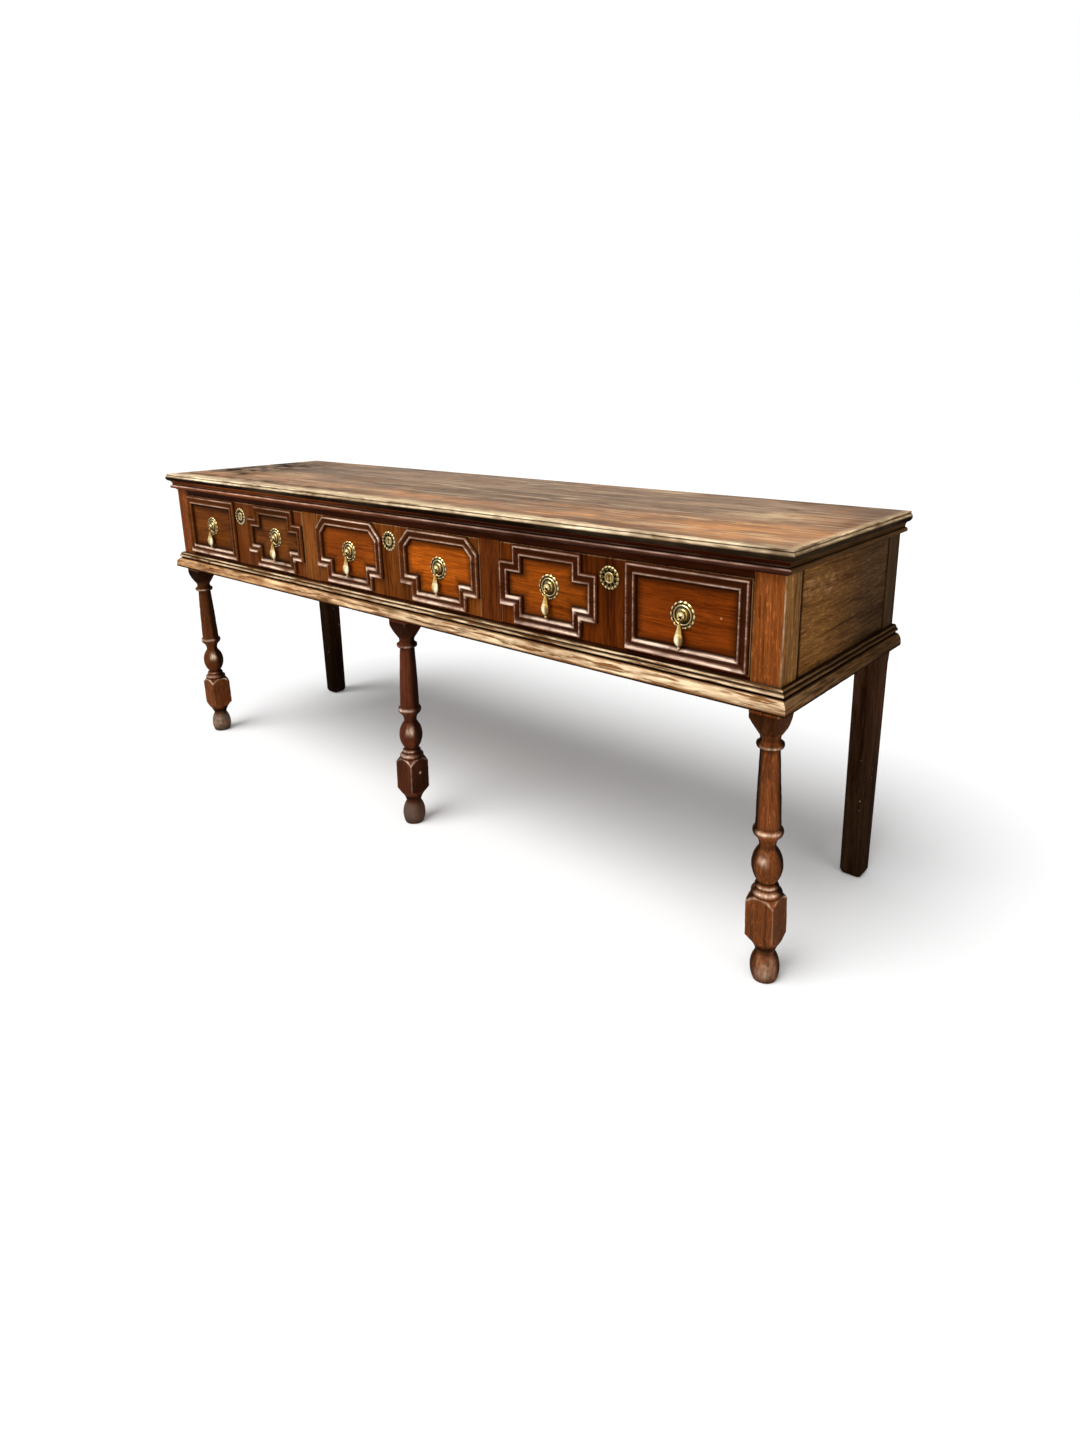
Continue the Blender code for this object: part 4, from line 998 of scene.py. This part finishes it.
class TurnedLeg:
    """Points of a leg, ring by ring, and where it is rubbed, dirty and dusty, and where painted highlights
    and painted shade lie.

    Heights and radii are columns and angles are rows, so that together they make a value for each point.
    """

    def __init__(self, word, x, top, seed, outer):
        self.looks = LEGS[word]
        self.seed = seed
        self.outer = outer
        self.profile = dense(leg_profile(top), 0.003)
        self.radius, self.height = self.profile[:, :1], self.profile[:, 1:]
        self.angle = turns(96)
        self.cosine, self.sine = np.cos(self.angle), np.sin(self.angle)
        crisp = 34
        self.unit = (np.abs(self.cosine) ** crisp + np.abs(self.sine) ** crisp) ** (-1 / crisp)
        below = np.where(self.height > COLLAR_BOTTOM, UNCUT, BLOCK_SIDE / 2)
        self.square = np.where(self.height > SQUARE_BOTTOM, LEG_SIDE / 2, below) * self.unit
        self.flat = self.square < self.radius
        self.lower = self.height < LEAN_START
        self.on_block = (self.height > BLOCK_BOTTOM) & (self.height < BLOCK_TOP)
        self.on_foot = 1 - smooth_step(0.044, 0.060, self.height)
        self.rings = self.points(x)

    def points(self, x):
        lean_x, lean_y = self.looks["lean"]
        share = np.clip(1 - self.height / LEAN_START, 0, None)
        axis_x = x + lean_x * share
        axis_y = LEG_Y + lean_y * share
        reach = np.minimum(self.radius, self.square)
        rings = np.zeros((*reach.shape, 3))
        rings[..., 0] = axis_x + reach * self.cosine
        rings[..., 1] = axis_y + reach * self.sine
        rings[..., 2] = self.height
        knocks = dents(rings, (38.0, self.seed, 0, 0.0008), (110.0, self.seed + 2, 0.1, 0.0007))
        pull = np.where(self.lower, knocks / np.maximum(reach, 1e-6), 0)
        rings[..., 0] += (axis_x - rings[..., 0]) * pull
        rings[..., 1] += (axis_y - rings[..., 1]) * pull
        return rings

    def uneven(self, scale, seed):
        return uneven(self.rings, scale, self.seed + seed)

    def facing(self, degrees):
        return np.cos(self.angle - math.radians(degrees))

    def wear_and_highlight(self):
        looks = self.looks
        in_front = self.sine < 0
        corner_above = np.where(in_front & (self.cosine * self.outer > 0), 0.40, 0)
        corner_below = np.where(in_front & (self.cosine > 0), looks["corner"], 0)
        corner = np.where(self.lower, corner_below, corner_above) * smooth_step(1.335, 1.38, self.unit)
        rubbed = sum(amount * ridge(self.height, middle, reach) for middle, reach, amount in RUBBED_AND_HIGHLIGHTED_TURNINGS)
        rubbed = rubbed + looks["foot"] * ridge(self.height, FOOT_HEIGHT, 0.0200)
        # Wear and painted highlights on the turnings, brightest on the lit side
        turned = rubbed * (0.10 + 0.90 * smooth_step(0.35, 0.98, self.facing(looks["lit_side"])))
        # A painted highlight on the bulb
        spot = smooth_step(0.87, 1.0, self.facing(looks["spot"]))
        turned = turned + looks["highlight_level"] * ridge(self.height, HIGHLIGHT_HEIGHT, 0.0085) * spot
        wear_and_highlight = np.where(self.flat, corner, turned)
        arris = ridge(self.square, self.radius, 0.0019)
        wear_and_highlight = wear_and_highlight + np.where(self.on_block & (self.height > ARRIS_BOTTOM), arris, 0)
        return wear_and_highlight * (0.75 + 0.9 * self.uneven(34.0, 7) + 0.6 * self.uneven(120.0, 1))

    def grime_and_shade(self, wear_and_highlight):
        looks = self.looks
        on_bulb = ridge(self.height, BULB_HEIGHT, 0.0300)
        dirty = looks["dirt"] + (looks["bulb"] - looks["dirt"]) * on_bulb
        # Darker up towards the cup, as painted shade under the base moulding
        dirty = dirty + 0.22 * smooth_step(0.370, 0.435, self.height)
        # The block's right face darker with painted shade
        block = looks["block"] + looks["right_face_shade"] * (self.cosine > 0.71)
        dirty = np.where(self.on_block & self.flat, block, dirty) * (1 + 0.5 * self.uneven(14.0, 4))
        # Painted shade on the side turned from the lit side and on the sides farthest from the light
        unlit_side = 1 - smooth_step(0.36, 0.98, self.facing(looks["lit_side"]))
        far_side = smooth_step(0.10, 0.60, self.facing(FAR_SIDE))
        behind = np.where(self.flat, 0.62 * far_side, (0.90 - 0.32 * far_side) * unlit_side)
        dirty = np.maximum(dirty, behind) * (1 - looks["foot_dust"] * self.on_foot)
        dirty = dirty * (1 - 0.6 * np.clip(wear_and_highlight, 0, 1))
        # Painted shade in the hollows of the turnings
        stand = relief(self.profile, 0, 0.010, 0.0048)[:, None]
        grime_and_shade = np.where(self.flat, 0, np.clip(-stand * 1.3, 0, 1))
        # Darker towards the sole; painted shade in the neck above the foot and in the cup under the base
        sole = 0.60 * (1 - smooth_step(-0.004, 0.026, self.height))
        ankle = 0.88 * ridge(self.height, ANKLE_HEIGHT, 0.0110)
        cup = np.where(self.lower, smooth_step(0.438, 0.470, self.height), 0) * looks["cup"]
        for layer in (sole, ankle, cup, np.where(self.lower, dirty, 0)):
            grime_and_shade = np.maximum(grime_and_shade, layer)
        return grime_and_shade

    def stile_sides(self):
        """One on the faces of the upper part that show at the end of the carcase."""
        across = np.abs(self.cosine) * self.unit
        return smooth_step(0.86, 0.94, across) * (self.height > CARCASE_BOTTOM)

    def dust(self):
        dusty = self.looks["dust"] + (self.looks["foot_dust"] - self.looks["dust"]) * self.on_foot
        return np.where(self.lower, dusty * (1 + 0.5 * self.uneven(26.0, 9)), 0)


def turned_leg(word, x, top, seed, material, outer=0):
    """A leg; `outer` is the side, -1 or 1, on which its stile shows at the end of the carcase."""
    leg = TurnedLeg(word, x, top, seed, outer)
    wear_and_highlight = leg.wear_and_highlight()
    mesh = loft("leg_" + word, leg.rings, material, wear_and_highlight, leg.grime_and_shade(wear_and_highlight), leg.stile_sides(), leg.dust(),
                sharp=34)
    place_piece("leg_" + word, mesh, "carcase", ["front_leg_" + word])


def legs():
    turned_leg("middle", 0.0, CARCASE_BOTTOM - GAP, 2.0, FINISH["leg_middle"])
    for word, side in SIDES.items():
        material = oak("oak_leg_" + word, LEG_TONES[word], "Z", (0.84, 0.62, 0.45), 0.32, 0.008, 0.9,
                       3.0 + side, faded=(0.179, 0.077, 0.0158), fleck=0.60)
        turned_leg(word, side * (HALF_WIDTH - LEG_SIDE / 2), TOP_UNDERSIDE - GAP, 5.0 + side, material, side)


def plugs():
    """A wooden plug in the right drawer's panel and the end of a peg in the middle leg's block."""
    peg_z = 0.131
    share = 1 - peg_z / LEAN_START
    lean_x, lean_y = LEGS["middle"]["lean"]
    peg = (lean_x * share + BLOCK_SIDE / 2, LEG_Y + lean_y * share, peg_z)
    plug = (0.834, FACE_Y - FIELD_PROUD, 0.646)
    spots = {"plug_right": ("drawer_right", plug, 0.0024, (0, -1), "plug"),
             "peg_middle": ("carcase", peg, 0.0036, (1, 0), "peg")}
    turn = turns(14)
    for seed, (name, (body, place, radius, facing, key)) in enumerate(spots.items()):
        rings = []
        for share, out in ((1.0, -0.0008), (1.0, 0.0002), (0.9, 0.0005), (0.5, 0.0007), (0.06, 0.0008)):
            reach = radius * share * (1 + 0.08 * np.sin(3 * turn + seed))
            across = reach * np.cos(turn)
            x = facing[0] * out - facing[1] * across
            y = facing[1] * out + facing[0] * across
            rings.append(np.stack([x, y, reach * np.sin(turn)], 1))
        mesh = loft(name, np.array(rings), FINISH[key], grime_and_shade=[[0.9], [0.8], [0.2], [0], [0]])
        place_piece(name, mesh, body, (), place)


# Drawer fronts

# How bright a frame's top runs and upright runs are along their ridges, as wear and painted highlight, and
# how dark the hollow of its upright runs is, as painted shade
RUB_HIGHLIGHT_AND_SHADE = {"left": (0.36, 0.08, 0.35), "middle": (0.72, 0.27, 0.50), "right": (0.40, 0.46, 1.0)}
# Rings of a field's eased edge, as (inset from the frame's outer ridge, out from the front, painted shade
# from the moulding)
FIELD_RINGS = [(0.0176, -0.0004, 1.0), (0.0180, 0.0004, 1.0), (0.0196, 0.0006, 0.85),
               (0.0225, FIELD_PROUD, 0.58), (0.0280, FIELD_PROUD, 0.32), (0.0360, FIELD_PROUD, 0.0)]


def frame_outline(corners):
    """Outline of an applied frame on its outer ridge, anticlockwise from the lower left corner."""
    shapes = {"square": [(0, 0)],
              "step": [(0, STEP_HEIGHT), (STEP_WIDTH, STEP_HEIGHT), (STEP_WIDTH, 0)],
              "cant": [(0, CANT), (CANT, 0)]}
    outline = []
    for index, ((sign_x, sign_z), kind) in enumerate(zip([(-1, -1), (1, -1), (1, 1), (-1, 1)], corners)):
        points = [(sign_x * (FRAME_HALF_WIDTH - x), sign_z * (FRAME_HALF_HEIGHT - z))
                  for x, z in shapes[kind]]
        outline += points if index % 2 == 0 else points[::-1]
    return [Vector(point) for point in outline]


def mitres(outline):
    """At each corner, how a step of one inwards moves it."""
    made = []
    for index, point in enumerate(outline):
        before = (point - outline[index - 1]).normalized()
        after = (outline[(index + 1) % len(outline)] - point).normalized()
        in_before = Vector((-before.y, before.x))
        in_after = Vector((-after.y, after.x))
        made.append((in_before + in_after) / (1 + in_before.dot(in_after)))
    return made


def walk(outline, index, parts):
    """Points along the run from one corner of an outline, each with how a step of one inwards moves it."""
    following = (index + 1) % len(outline)
    mitre = mitres(outline)
    step = outline[following] - outline[index]
    for part in range(parts):
        share = part / parts
        yield outline[index] + step * share, mitre[index].lerp(mitre[following], share)


def frame_profile():
    """Section of an applied frame, as (inset, out): two ridges with a hollow between them."""
    outer = bow((-0.0036, 0.0042), (0.0034, 0.0062), 0.0030, 10)
    hollow = bow((0.0042, 0.0048), (0.0112, 0.0040), -0.0010, 8)
    inner = bow((0.0116, 0.0052), (0.0176, 0.0042), 0.0026, 10)
    return np.array([(-0.0036, GAP)] + outer + hollow + inner + [(0.0190, GAP)])


def rubbing_and_highlight(inward, across, top, upright):
    """How bright a run of a frame is along its ridges, as wear and painted highlight by the way that the run
    faces: the ledges below broadly, the rest finely, the right-hand uprights and cants brighter than the
    left-hand ones.
    """
    if inward.y > 0.9:
        level, reach = 1.12, 0.0030
    elif inward.y < -0.9:
        level, reach = top, 0.0012
    elif abs(inward.y) < 0.1:
        level, reach = (upright if inward.x < 0 else 0.6 * upright), 0.0011
    else:
        level, reach = (1.00 if inward.x < 0 else 0.45), 0.0018
    return level * (ridge(across, -0.0002, reach) + ridge(across, 0.0144, reach))


def applied_frame(name, corners, x, material, rubbed, seed, body, node):
    top, upright, hollow_shade = rubbed
    outline = frame_outline(corners)
    profile = frame_profile()
    stand = relief(profile, 1, 0.0040, 0.0020)
    rings, wear_and_highlight, grime_and_shade = [], [], []
    for index, point in enumerate(outline):
        step = outline[(index + 1) % len(outline)] - point
        along = step.normalized()
        inward = Vector((-along.y, along.x))
        # Painted shade in the hollow, and along the foot of the moulding where it meets the drawer front
        dirt = np.clip(-stand, 0, 1) * (hollow_shade if abs(inward.y) < 0.1 else 1.0)
        dirt[[0, 1, -2, -1]] = (0.9, 0.5, 0.5, 0.9)
        parts = max(2, round(step.length / 0.007))
        for part, (start, slant) in enumerate(walk(outline, index, parts)):
            from_x, from_z = x + start.x, FRAME_Z + start.y
            rings.append([(from_x + slant.x * u, FACE_Y - v, from_z + slant.y * u) for u, v in profile])
            # Ridges lit by wear and painted highlight; the ring at each mitre darker
            wear_and_highlight.append(rubbing_and_highlight(inward, profile[:, 0], top, upright))
            grime_and_shade.append(dirt * (1.3 if part == 0 else 1.0))
    rings = np.array(rings)
    lift = smooth_step(0.002, 0.005, profile[:, 1])[None, :]
    rings[..., 1] += dents(rings, (35.0, seed, 0, 0.0006), (120.0, seed + 4, 0, 0.0004)) * lift
    wear_and_highlight = np.array(wear_and_highlight) * (0.85 + 0.7 * uneven(rings, 22.0, seed + 6) + 0.5 * uneven(rings, 90.0, seed + 1))
    mesh = loft(name, rings, material, wear_and_highlight, np.array(grime_and_shade), loop=True, sharp=42)
    place_piece(name, mesh, body, [node])


def field_panel(name, corners, x, tone, seed, body):
    """Board inside a frame, a little proud of the drawer front, its edge eased under the moulding and
    darkened there by painted shade.
    """
    outline = frame_outline(corners)
    rings, grime_and_shade = [], []
    for inset, out, dirt in FIELD_RINGS:
        ring = []
        for index in range(len(outline)):
            for point, slant in walk(outline, index, parts=8):
                place = point + slant * inset
                ring.append((x + place.x, FACE_Y - out, FRAME_Z + place.y))
        rings.append(ring)
        grime_and_shade.append([dirt])
    worn = tuple(part * 2.0 for part in tone)
    material = oak("oak_" + name, tone, "X", worn, 0.36, 0.008, 0.88, seed, fine=1.45)
    mesh = loft(name, np.array(rings), material, grime_and_shade=grime_and_shade, sharp=30)
    place_piece(name, mesh, body)


# Brass

# Rings of the plates as (share of the radius, out, kind, wear, grime)
PLATE_RINGS = [(1.0, GAP, "rim", 0, 0.7), (1.0, 0.0010, "rim", 0.2, 0.2), (0.975, 0.0016, "rim", 0.5, 0.1),
               (0.94, 0.0017, "bead", 1.0, 0.05), (0.90, 0.0021, "bead", 1.0, 0.0),
               (0.86, 0.0017, "bead", 0.8, 0.15), (0.83, 0.0012, "plain", 0, 0.95),
               (0.735, 0.0011, "plain", 0, 0.85), (0.71, 0.0020, "plain", 0.4, 0.2),
               (0.675, 0.0027, "plain", 0.9, 0), (0.64, 0.0021, "plain", 0.4, 0.2),
               (0.61, 0.0012, "plain", 0, 0.9), (0.56, 0.0011, "plain", 0, 1.0)]
ESCUTCHEON_RINGS = [(1.0, GAP, "rim", 0, 0.7), (1.0, 0.0008, "rim", 0.3, 0.2),
                    (0.97, 0.0012, "rim", 0.5, 0.1), (0.93, 0.0013, "bead", 1.0, 0.05),
                    (0.88, 0.0017, "bead", 1.0, 0.0), (0.83, 0.0013, "bead", 0.8, 0.15),
                    (0.79, 0.0010, "plain", 0, 0.9), (0.47, 0.0010, "plain", 0, 0.8),
                    (0.44, 0.0018, "plain", 0.5, 0.1), (0.40, 0.0021, "plain", 0.9, 0),
                    (0.36, 0.0016, "plain", 0.4, 0.2), (0.33, 0.0012, "plain", 0.1, 0.5),
                    (0.02, 0.0012, "plain", 0.5, 0.1)]
# The way that the painted highlight on each drawer's drops faces, in degrees from X
DROP_HIGHLIGHT_SIDE = {"left": -38, "middle": -49, "right": -96}
# How bright each drawer's escutcheon is painted, from -1, dark with painted shade, to 1, lit with painted
# highlights
ESCUTCHEON_SHINE = {"left": 0.45, "middle": 0.25, "right": -0.20}


def sized(rings, radius):
    return [(radius * share, *rest) for share, *rest in rings]


def lathe_plate(name, rings, lobes, scallop, beads, bright=0.0):
    """Round plate in the XZ plane, towards -Y, with a scalloped rim and a row of beads.

    A ring is (radius, out, kind, wear, grime). A bright above 0 paints highlights on its rubbed rings, and
    one below 0 paints shade over all of it.
    """
    angle = turns(lobes * 8)
    wave = np.abs(np.cos(angle * lobes / 2))
    points = np.zeros((len(rings), len(angle), 3))
    wear_and_highlight = np.zeros(points.shape[:2])
    grime_and_shade = np.zeros(points.shape[:2])
    for row, (radius, out, kind, rubbed, dirty) in enumerate(rings):
        reach = radius - (scallop * (1 - wave) if kind == "rim" else 0)
        bump = beads * wave ** 3 if kind == "bead" else 0
        points[row, :, 0] = reach * np.cos(angle)
        points[row, :, 1] = -(out + bump)
        points[row, :, 2] = reach * np.sin(angle)
        wear_and_highlight[row] = rubbed * (wave ** 2 if kind == "bead" else 1)
        grime_and_shade[row] = dirty + ((1 - dirty) * (1 - wave) ** 2 if kind == "bead" else 0)
    return loft(name, points, FINISH["brass"], wear_and_highlight, grime_and_shade - min(bright, 0), max(bright, 0) * wear_and_highlight, sharp=50)


def disc(x, z, width, steps):
    """Outline of a round hole."""
    return [(x + width / 2 * math.cos(turn), z + width / 2 * math.sin(turn)) for turn in turns(steps)]


def ring_of_holes(count, reach, width, steps):
    middles = turns(count) + math.pi / count
    return [disc(reach * math.cos(turn), reach * math.sin(turn), width, steps) for turn in middles]


def boss_rings():
    """Rings of a handle's boss: a skirt, a groove and a knob."""
    skirt = bow((BOSS_RADIUS, 0.0013), (BOSS_RADIUS * 0.64, 0.0068), 0.0014, 6)
    knob = bow((BOSS_RADIUS * 0.58, 0.0076), (BOSS_RADIUS * 0.08, BOSS_HEIGHT), 0.0028, 9)
    rings = []
    for reach, out in skirt + [(BOSS_RADIUS * 0.60, 0.0066)] + knob:
        groove = ridge(reach, BOSS_RADIUS * 0.60, 0.0006)
        wear_and_highlight = 0.55 * (out > 0.0040) * (1 - groove)
        rings.append((reach, out, "plain", wear_and_highlight, 0.75 * (out < 0.0030) + 0.8 * groove))
    return rings


def handle_plate():
    """Cast plate with a beaded rim, a ring, and a boss that is slotted for the drop."""
    rings = sized(PLATE_RINGS, PLATE_RADIUS) + boss_rings()
    mesh = lathe_plate("handle_plate", rings, PLATE_LOBES, scallop=0.0017, beads=0.0013)
    holes = ring_of_holes(PLATE_LOBES, PLATE_RADIUS * 0.79, width=0.0028, steps=10)
    pierced = carve("handle_plate", mesh, tubes("holes", holes, -0.012, 0.004))
    left, right = -0.0036, 0.0021
    mouth = -PIVOT_DROP + 0.0066
    slot = [(left, -0.030), (right, -0.030), (right, mouth - 0.0030), (right * 0.4, mouth - 0.0008),
            (left * 0.6, mouth), (left, mouth - 0.0016)]
    slotted = carve("handle_plate", pierced, tubes("slot", [slot], -0.030, -0.0050 + FIELD_PROUD))
    # Painted shadow inside the slot
    for point, mark in zip(slotted.vertices, slotted.attributes["grime_and_shade"].data):
        if left - 1e-5 < point.co.x < right + 1e-5 and point.co.z < mouth + 1e-5 and point.co.y < -0.0042:
            mark.value = 1.0
    pin_y = -PIVOT_OUT + FIELD_PROUD
    thick = 0.0010
    pin = np.array([[(x, pin_y + thick * math.cos(turn), -PIVOT_DROP + thick * math.sin(turn))
                     for turn in turns(12)] for x in np.linspace(-0.0050, 0.0040, 4)])
    return joined("handle_plate", [slotted, loft("pin", pin, FINISH["brass"])], FINISH["brass"])


def handle_drop(highlight_side):
    """Pear drop with an eye for the pin; polished is the way that its painted highlight faces."""
    stem = [(0.0015, -0.0020), (0.0015, -0.0075)]
    neck = bow((0.0032, -0.0085), (0.0064, -0.0205), -0.0003, 8)
    pear = bow((0.0070, -0.0230), (0.0050, -0.0455), 0.0035, 16)
    tip = bow((0.0022, -0.0475), (0.0014, -0.0540), 0.0015, 10)
    profile = dense(stem + neck + pear + tip, 0.0016)
    stand = relief(profile, 0, 0.006, 0.003)[:, None]
    angle = turns(32)
    rings = np.zeros((len(profile), len(angle), 3))
    rings[..., 0] = profile[:, :1] * np.cos(angle)
    rings[..., 1] = profile[:, :1] * np.sin(angle)
    rings[..., 2] = profile[:, 1:]
    # A painted highlight on the pear, on the side that the given angle points to
    towards = smooth_step(0.80, 0.98, np.cos(angle - math.radians(highlight_side)))
    shine = ridge(profile[:, 1:], -0.0345, 0.0105) * towards
    pear_mesh = loft("pear", rings, FINISH["brass"], stand * 0.6, -stand * 0.9, shine, sharp=50)
    eye = []
    for turn in turns(20):
        around = [(0.0010 * math.sin(tube), 0.0022 + 0.0008 * math.cos(tube)) for tube in turns(10)]
        eye.append([(x, reach * math.cos(turn), reach * math.sin(turn)) for x, reach in around])
    eye_mesh = loft("eye", np.array(eye), FINISH["brass"], loop=True)
    return joined("handle_drop", [pear_mesh, eye_mesh], FINISH["brass"])


def keyhole_outline():
    """Round head and a flared slot below it."""
    head = [0.0022 * np.array((math.cos(turn), math.sin(turn))) + (0, 0.0036)
            for turn in np.radians(np.arange(-50, 231, 20))]
    return [tuple(point) for point in head] + [(-0.0018, -0.0078), (0.0018, -0.0078)]


def escutcheon_plate(bright):
    rings = sized(ESCUTCHEON_RINGS, ESCUTCHEON_RADIUS)
    mesh = lathe_plate("escutcheon_plate", rings, ESCUTCHEON_BEADS, scallop=0.0013, beads=0.0010,
                       bright=bright)
    openings = ring_of_holes(ESCUTCHEON_OPENINGS, ESCUTCHEON_RADIUS * 0.625, width=0.0072, steps=12)
    return carve("escutcheon_plate", mesh, tubes("openings", [keyhole_outline()] + openings, -0.010, 0.010))


def keyhole_recess():
    """Painted shadow behind the openings of an escutcheon, a dark disc on the drawer front."""
    outline = np.array(disc(0, 0, 1.68 * ESCUTCHEON_RADIUS, 32))
    layers = ((-0.00025, 0.94), (-0.00025, 1.0), (0.0010, 1.0))
    rings = np.array([[(x, y, z) for x, z in outline * grow] for y, grow in layers])
    return loft("keyhole_recess", rings, FINISH["keyhole"], sharp=30)


def drawers():
    plain = ("square",) * 4
    stepped = ("step",) * 4
    canted = ("step", "step", "cant", "cant")
    frames = {"left": {"left": plain, "right": stepped}, "middle": {"left": canted, "right": canted},
              "right": {"left": stepped, "right": plain}}
    plate, recess = handle_plate(), keyhole_recess()
    for order, (word, middle) in enumerate(DRAWERS.items()):
        body = "drawer_" + word
        drop = handle_drop(DROP_HIGHLIGHT_SIDE[word])
        material = oak("oak_moulding_" + word, FRAME_TONES[word], "X", CREAM, 0.36, 0.006, 0.6, 4.0 + order)
        for hand, side in SIDES.items():
            x = middle + side * FRAME_OFFSET
            seed = 11.0 + 3 * order + side
            corners = frames[word][hand]
            applied_frame(f"frame_{word}_{hand}", corners, x, material, RUB_HIGHLIGHT_AND_SHADE[word], seed, body,
                          f"{body}_moulding_{hand}")
            field_panel(f"field_{word}_{hand}", corners, x, FIELD_TONES[word, hand], seed, body)
            along, rise = HANDLE_SHIFT.get((word, hand), (0, 0))
            seat = Vector((x + along, FACE_Y - FIELD_PROUD, HANDLE_Z + rise))
            pivot = Vector((x + along, FACE_Y - PIVOT_OUT, HANDLE_Z + rise - PIVOT_DROP))
            hinged = f"{body}_drop_{hand}"
            place_piece(f"plate_{word}_{hand}", plate, body, [f"{body}_plate_{hand}"], seat)
            place_piece(f"drop_{word}_{hand}", drop, hinged, [hinged], pivot)
        keyhole = (middle + KEYHOLE_X, FACE_Y, ESCUTCHEON_Z)
        escutcheon = escutcheon_plate(ESCUTCHEON_SHINE[word])
        place_piece("escutcheon_" + word, escutcheon, body, [body + "_escutcheon"], keyhole)
        place_piece("keyhole_" + word, recess, body, (), keyhole)


# Boards kept from the solids

def dress(node, material, width):
    """Give a kept solid its material, and ease its edges by a width."""
    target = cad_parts[node]
    target.data.materials.clear()
    target.data.materials.append(material)
    weld = target.modifiers.new("weld", "WELD")
    weld.merge_threshold = 0.00001
    ease = target.modifiers.new("ease", "BEVEL")
    ease.width = width
    ease.segments = 3
    ease.limit_method = "ANGLE"
    ease.angle_limit = math.radians(50)
    ease.harden_normals = True


def boards():
    for word in SIDES:
        dress("end_panel_" + word, FINISH["end"], 0.0004)
        dress("back_leg_" + word, FINISH["back_" + word], 0.0006)
        dress("drawer_divider_" + word, FINISH["divider_" + word], 0.0008)
    dress("back_panel", FINISH["inside_long"], 0.0010)
    dress("front_bottom_rail", FINISH["rail"], 0.0006)
    for word, middle in DRAWERS.items():
        body = "drawer_" + word
        front = oak("oak_front_" + word, FRONT_TONES[word], "Z", (0.50, 0.30, 0.15), 0.40, 0.008, 1.0,
                    10.0 + middle, edges=drawer_edges)
        dress(body + "_front", front, 0.0012)
        for part in ("side_left", "side_right", "bottom"):
            dress(f"{body}_{part}", FINISH["inside"], 0.0007)
        dress(body + "_back", FINISH["inside_long"], 0.0007)
        dress(body + "_lock", FINISH["iron"], 0.0005)
        dress(body + "_lock_bolt", FINISH["iron"], 0.0004)


# Studio

# The photo's camera: place in metres, turn in degrees, focal length and centre in pixels of the photo
CAMERA_PLACE = (1.52778, -1.43512, 1.02392)
CAMERA_YAW, CAMERA_PITCH, CAMERA_ROLL = -39.759, 15.659, -0.587
FOCAL_LENGTH = 875.71
CENTRE_X, CENTRE_Y = 574.73, 624.10
PHOTO_WIDTH, PHOTO_HEIGHT = 1080, 1441
SENSOR = 36.0
FLOOR_WHITE = (0.90, 0.90, 0.90)
FLOOR_GLOW = 0.05
ROOM_LIGHT = 0.34


def photo_camera():
    lens = bpy.data.cameras.new("camera")
    camera = put_in_scene("camera", lens)
    yaw, pitch, roll = (math.radians(turn) for turn in (CAMERA_YAW, CAMERA_PITCH, CAMERA_ROLL))
    ahead = Vector((math.sin(yaw) * math.cos(pitch), math.cos(yaw) * math.cos(pitch), -math.sin(pitch)))
    right = Vector((math.cos(yaw), -math.sin(yaw), 0))
    up = right.cross(ahead)
    turned_right = math.cos(roll) * right + math.sin(roll) * up
    turned_up = -math.sin(roll) * right + math.cos(roll) * up
    matrix = Matrix((turned_right, turned_up, -ahead)).transposed().to_4x4()
    matrix.translation = CAMERA_PLACE
    camera.matrix_world = matrix
    lens.sensor_width = SENSOR
    lens.lens = SENSOR * FOCAL_LENGTH / PHOTO_HEIGHT
    lens.shift_x = (PHOTO_WIDTH / 2 - CENTRE_X) / PHOTO_HEIGHT
    lens.shift_y = (CENTRE_Y - PHOTO_HEIGHT / 2) / PHOTO_HEIGHT
    lens.clip_end = 200
    bpy.context.scene.camera = camera


def studio_floor():
    """A wide matt floor that keeps the shadow and glows a little for the camera."""
    shape = bmesh.new()
    bmesh.ops.create_grid(shape, x_segments=8, y_segments=8, size=60)
    floor = put_in_scene("floor", to_mesh("floor", shape))
    graph = Graph(bpy.data.materials.new("studio_floor"))
    graph.tree.nodes.remove(graph.shader)
    matt = graph.node("BsdfDiffuse", {"Color": FLOOR_WHITE})
    glow = graph.node("Emission", {"Strength": graph.seen() * FLOOR_GLOW})
    both = graph.node("AddShader", {0: graph.out(matt), 1: graph.out(glow)})
    graph.put(graph.tree.nodes["Material Output"].inputs["Surface"], graph.out(both))
    floor.data.materials.append(graph.owner)


def studio_world():
    """White where it is seen, dimmer as a light."""
    graph = Graph(bpy.data.worlds.new("studio"))
    level = graph.node("MapRange", {"Value": graph.seen(), "To Min": ROOM_LIGHT, "To Max": 1.0})
    background = graph.tree.nodes["Background"]
    graph.put(background.inputs["Strength"], graph.out(level))
    graph.put(background.inputs["Color"], (1, 1, 1))
    bpy.context.scene.world = graph.owner


def sun(name, towards, strength, spread=40):
    lamp = bpy.data.lights.new(name, "SUN")
    lamp.energy = strength
    lamp.angle = math.radians(spread)
    made = put_in_scene(name, lamp)
    made.rotation_mode = "QUATERNION"
    made.rotation_quaternion = Vector(towards).to_track_quat("-Z", "Y")


def studio():
    bpy.context.scene.view_settings.view_transform = "Standard"
    photo_camera()
    studio_floor()
    studio_world()
    sun("key", towards=(0.09, 0.47, -0.88), strength=2.7)
    sun("side", towards=(-0.80, 0.30, -0.40), strength=0.55)


top_board()
mouldings()
front_rail()
legs()
drawers()
plugs()
boards()
studio()
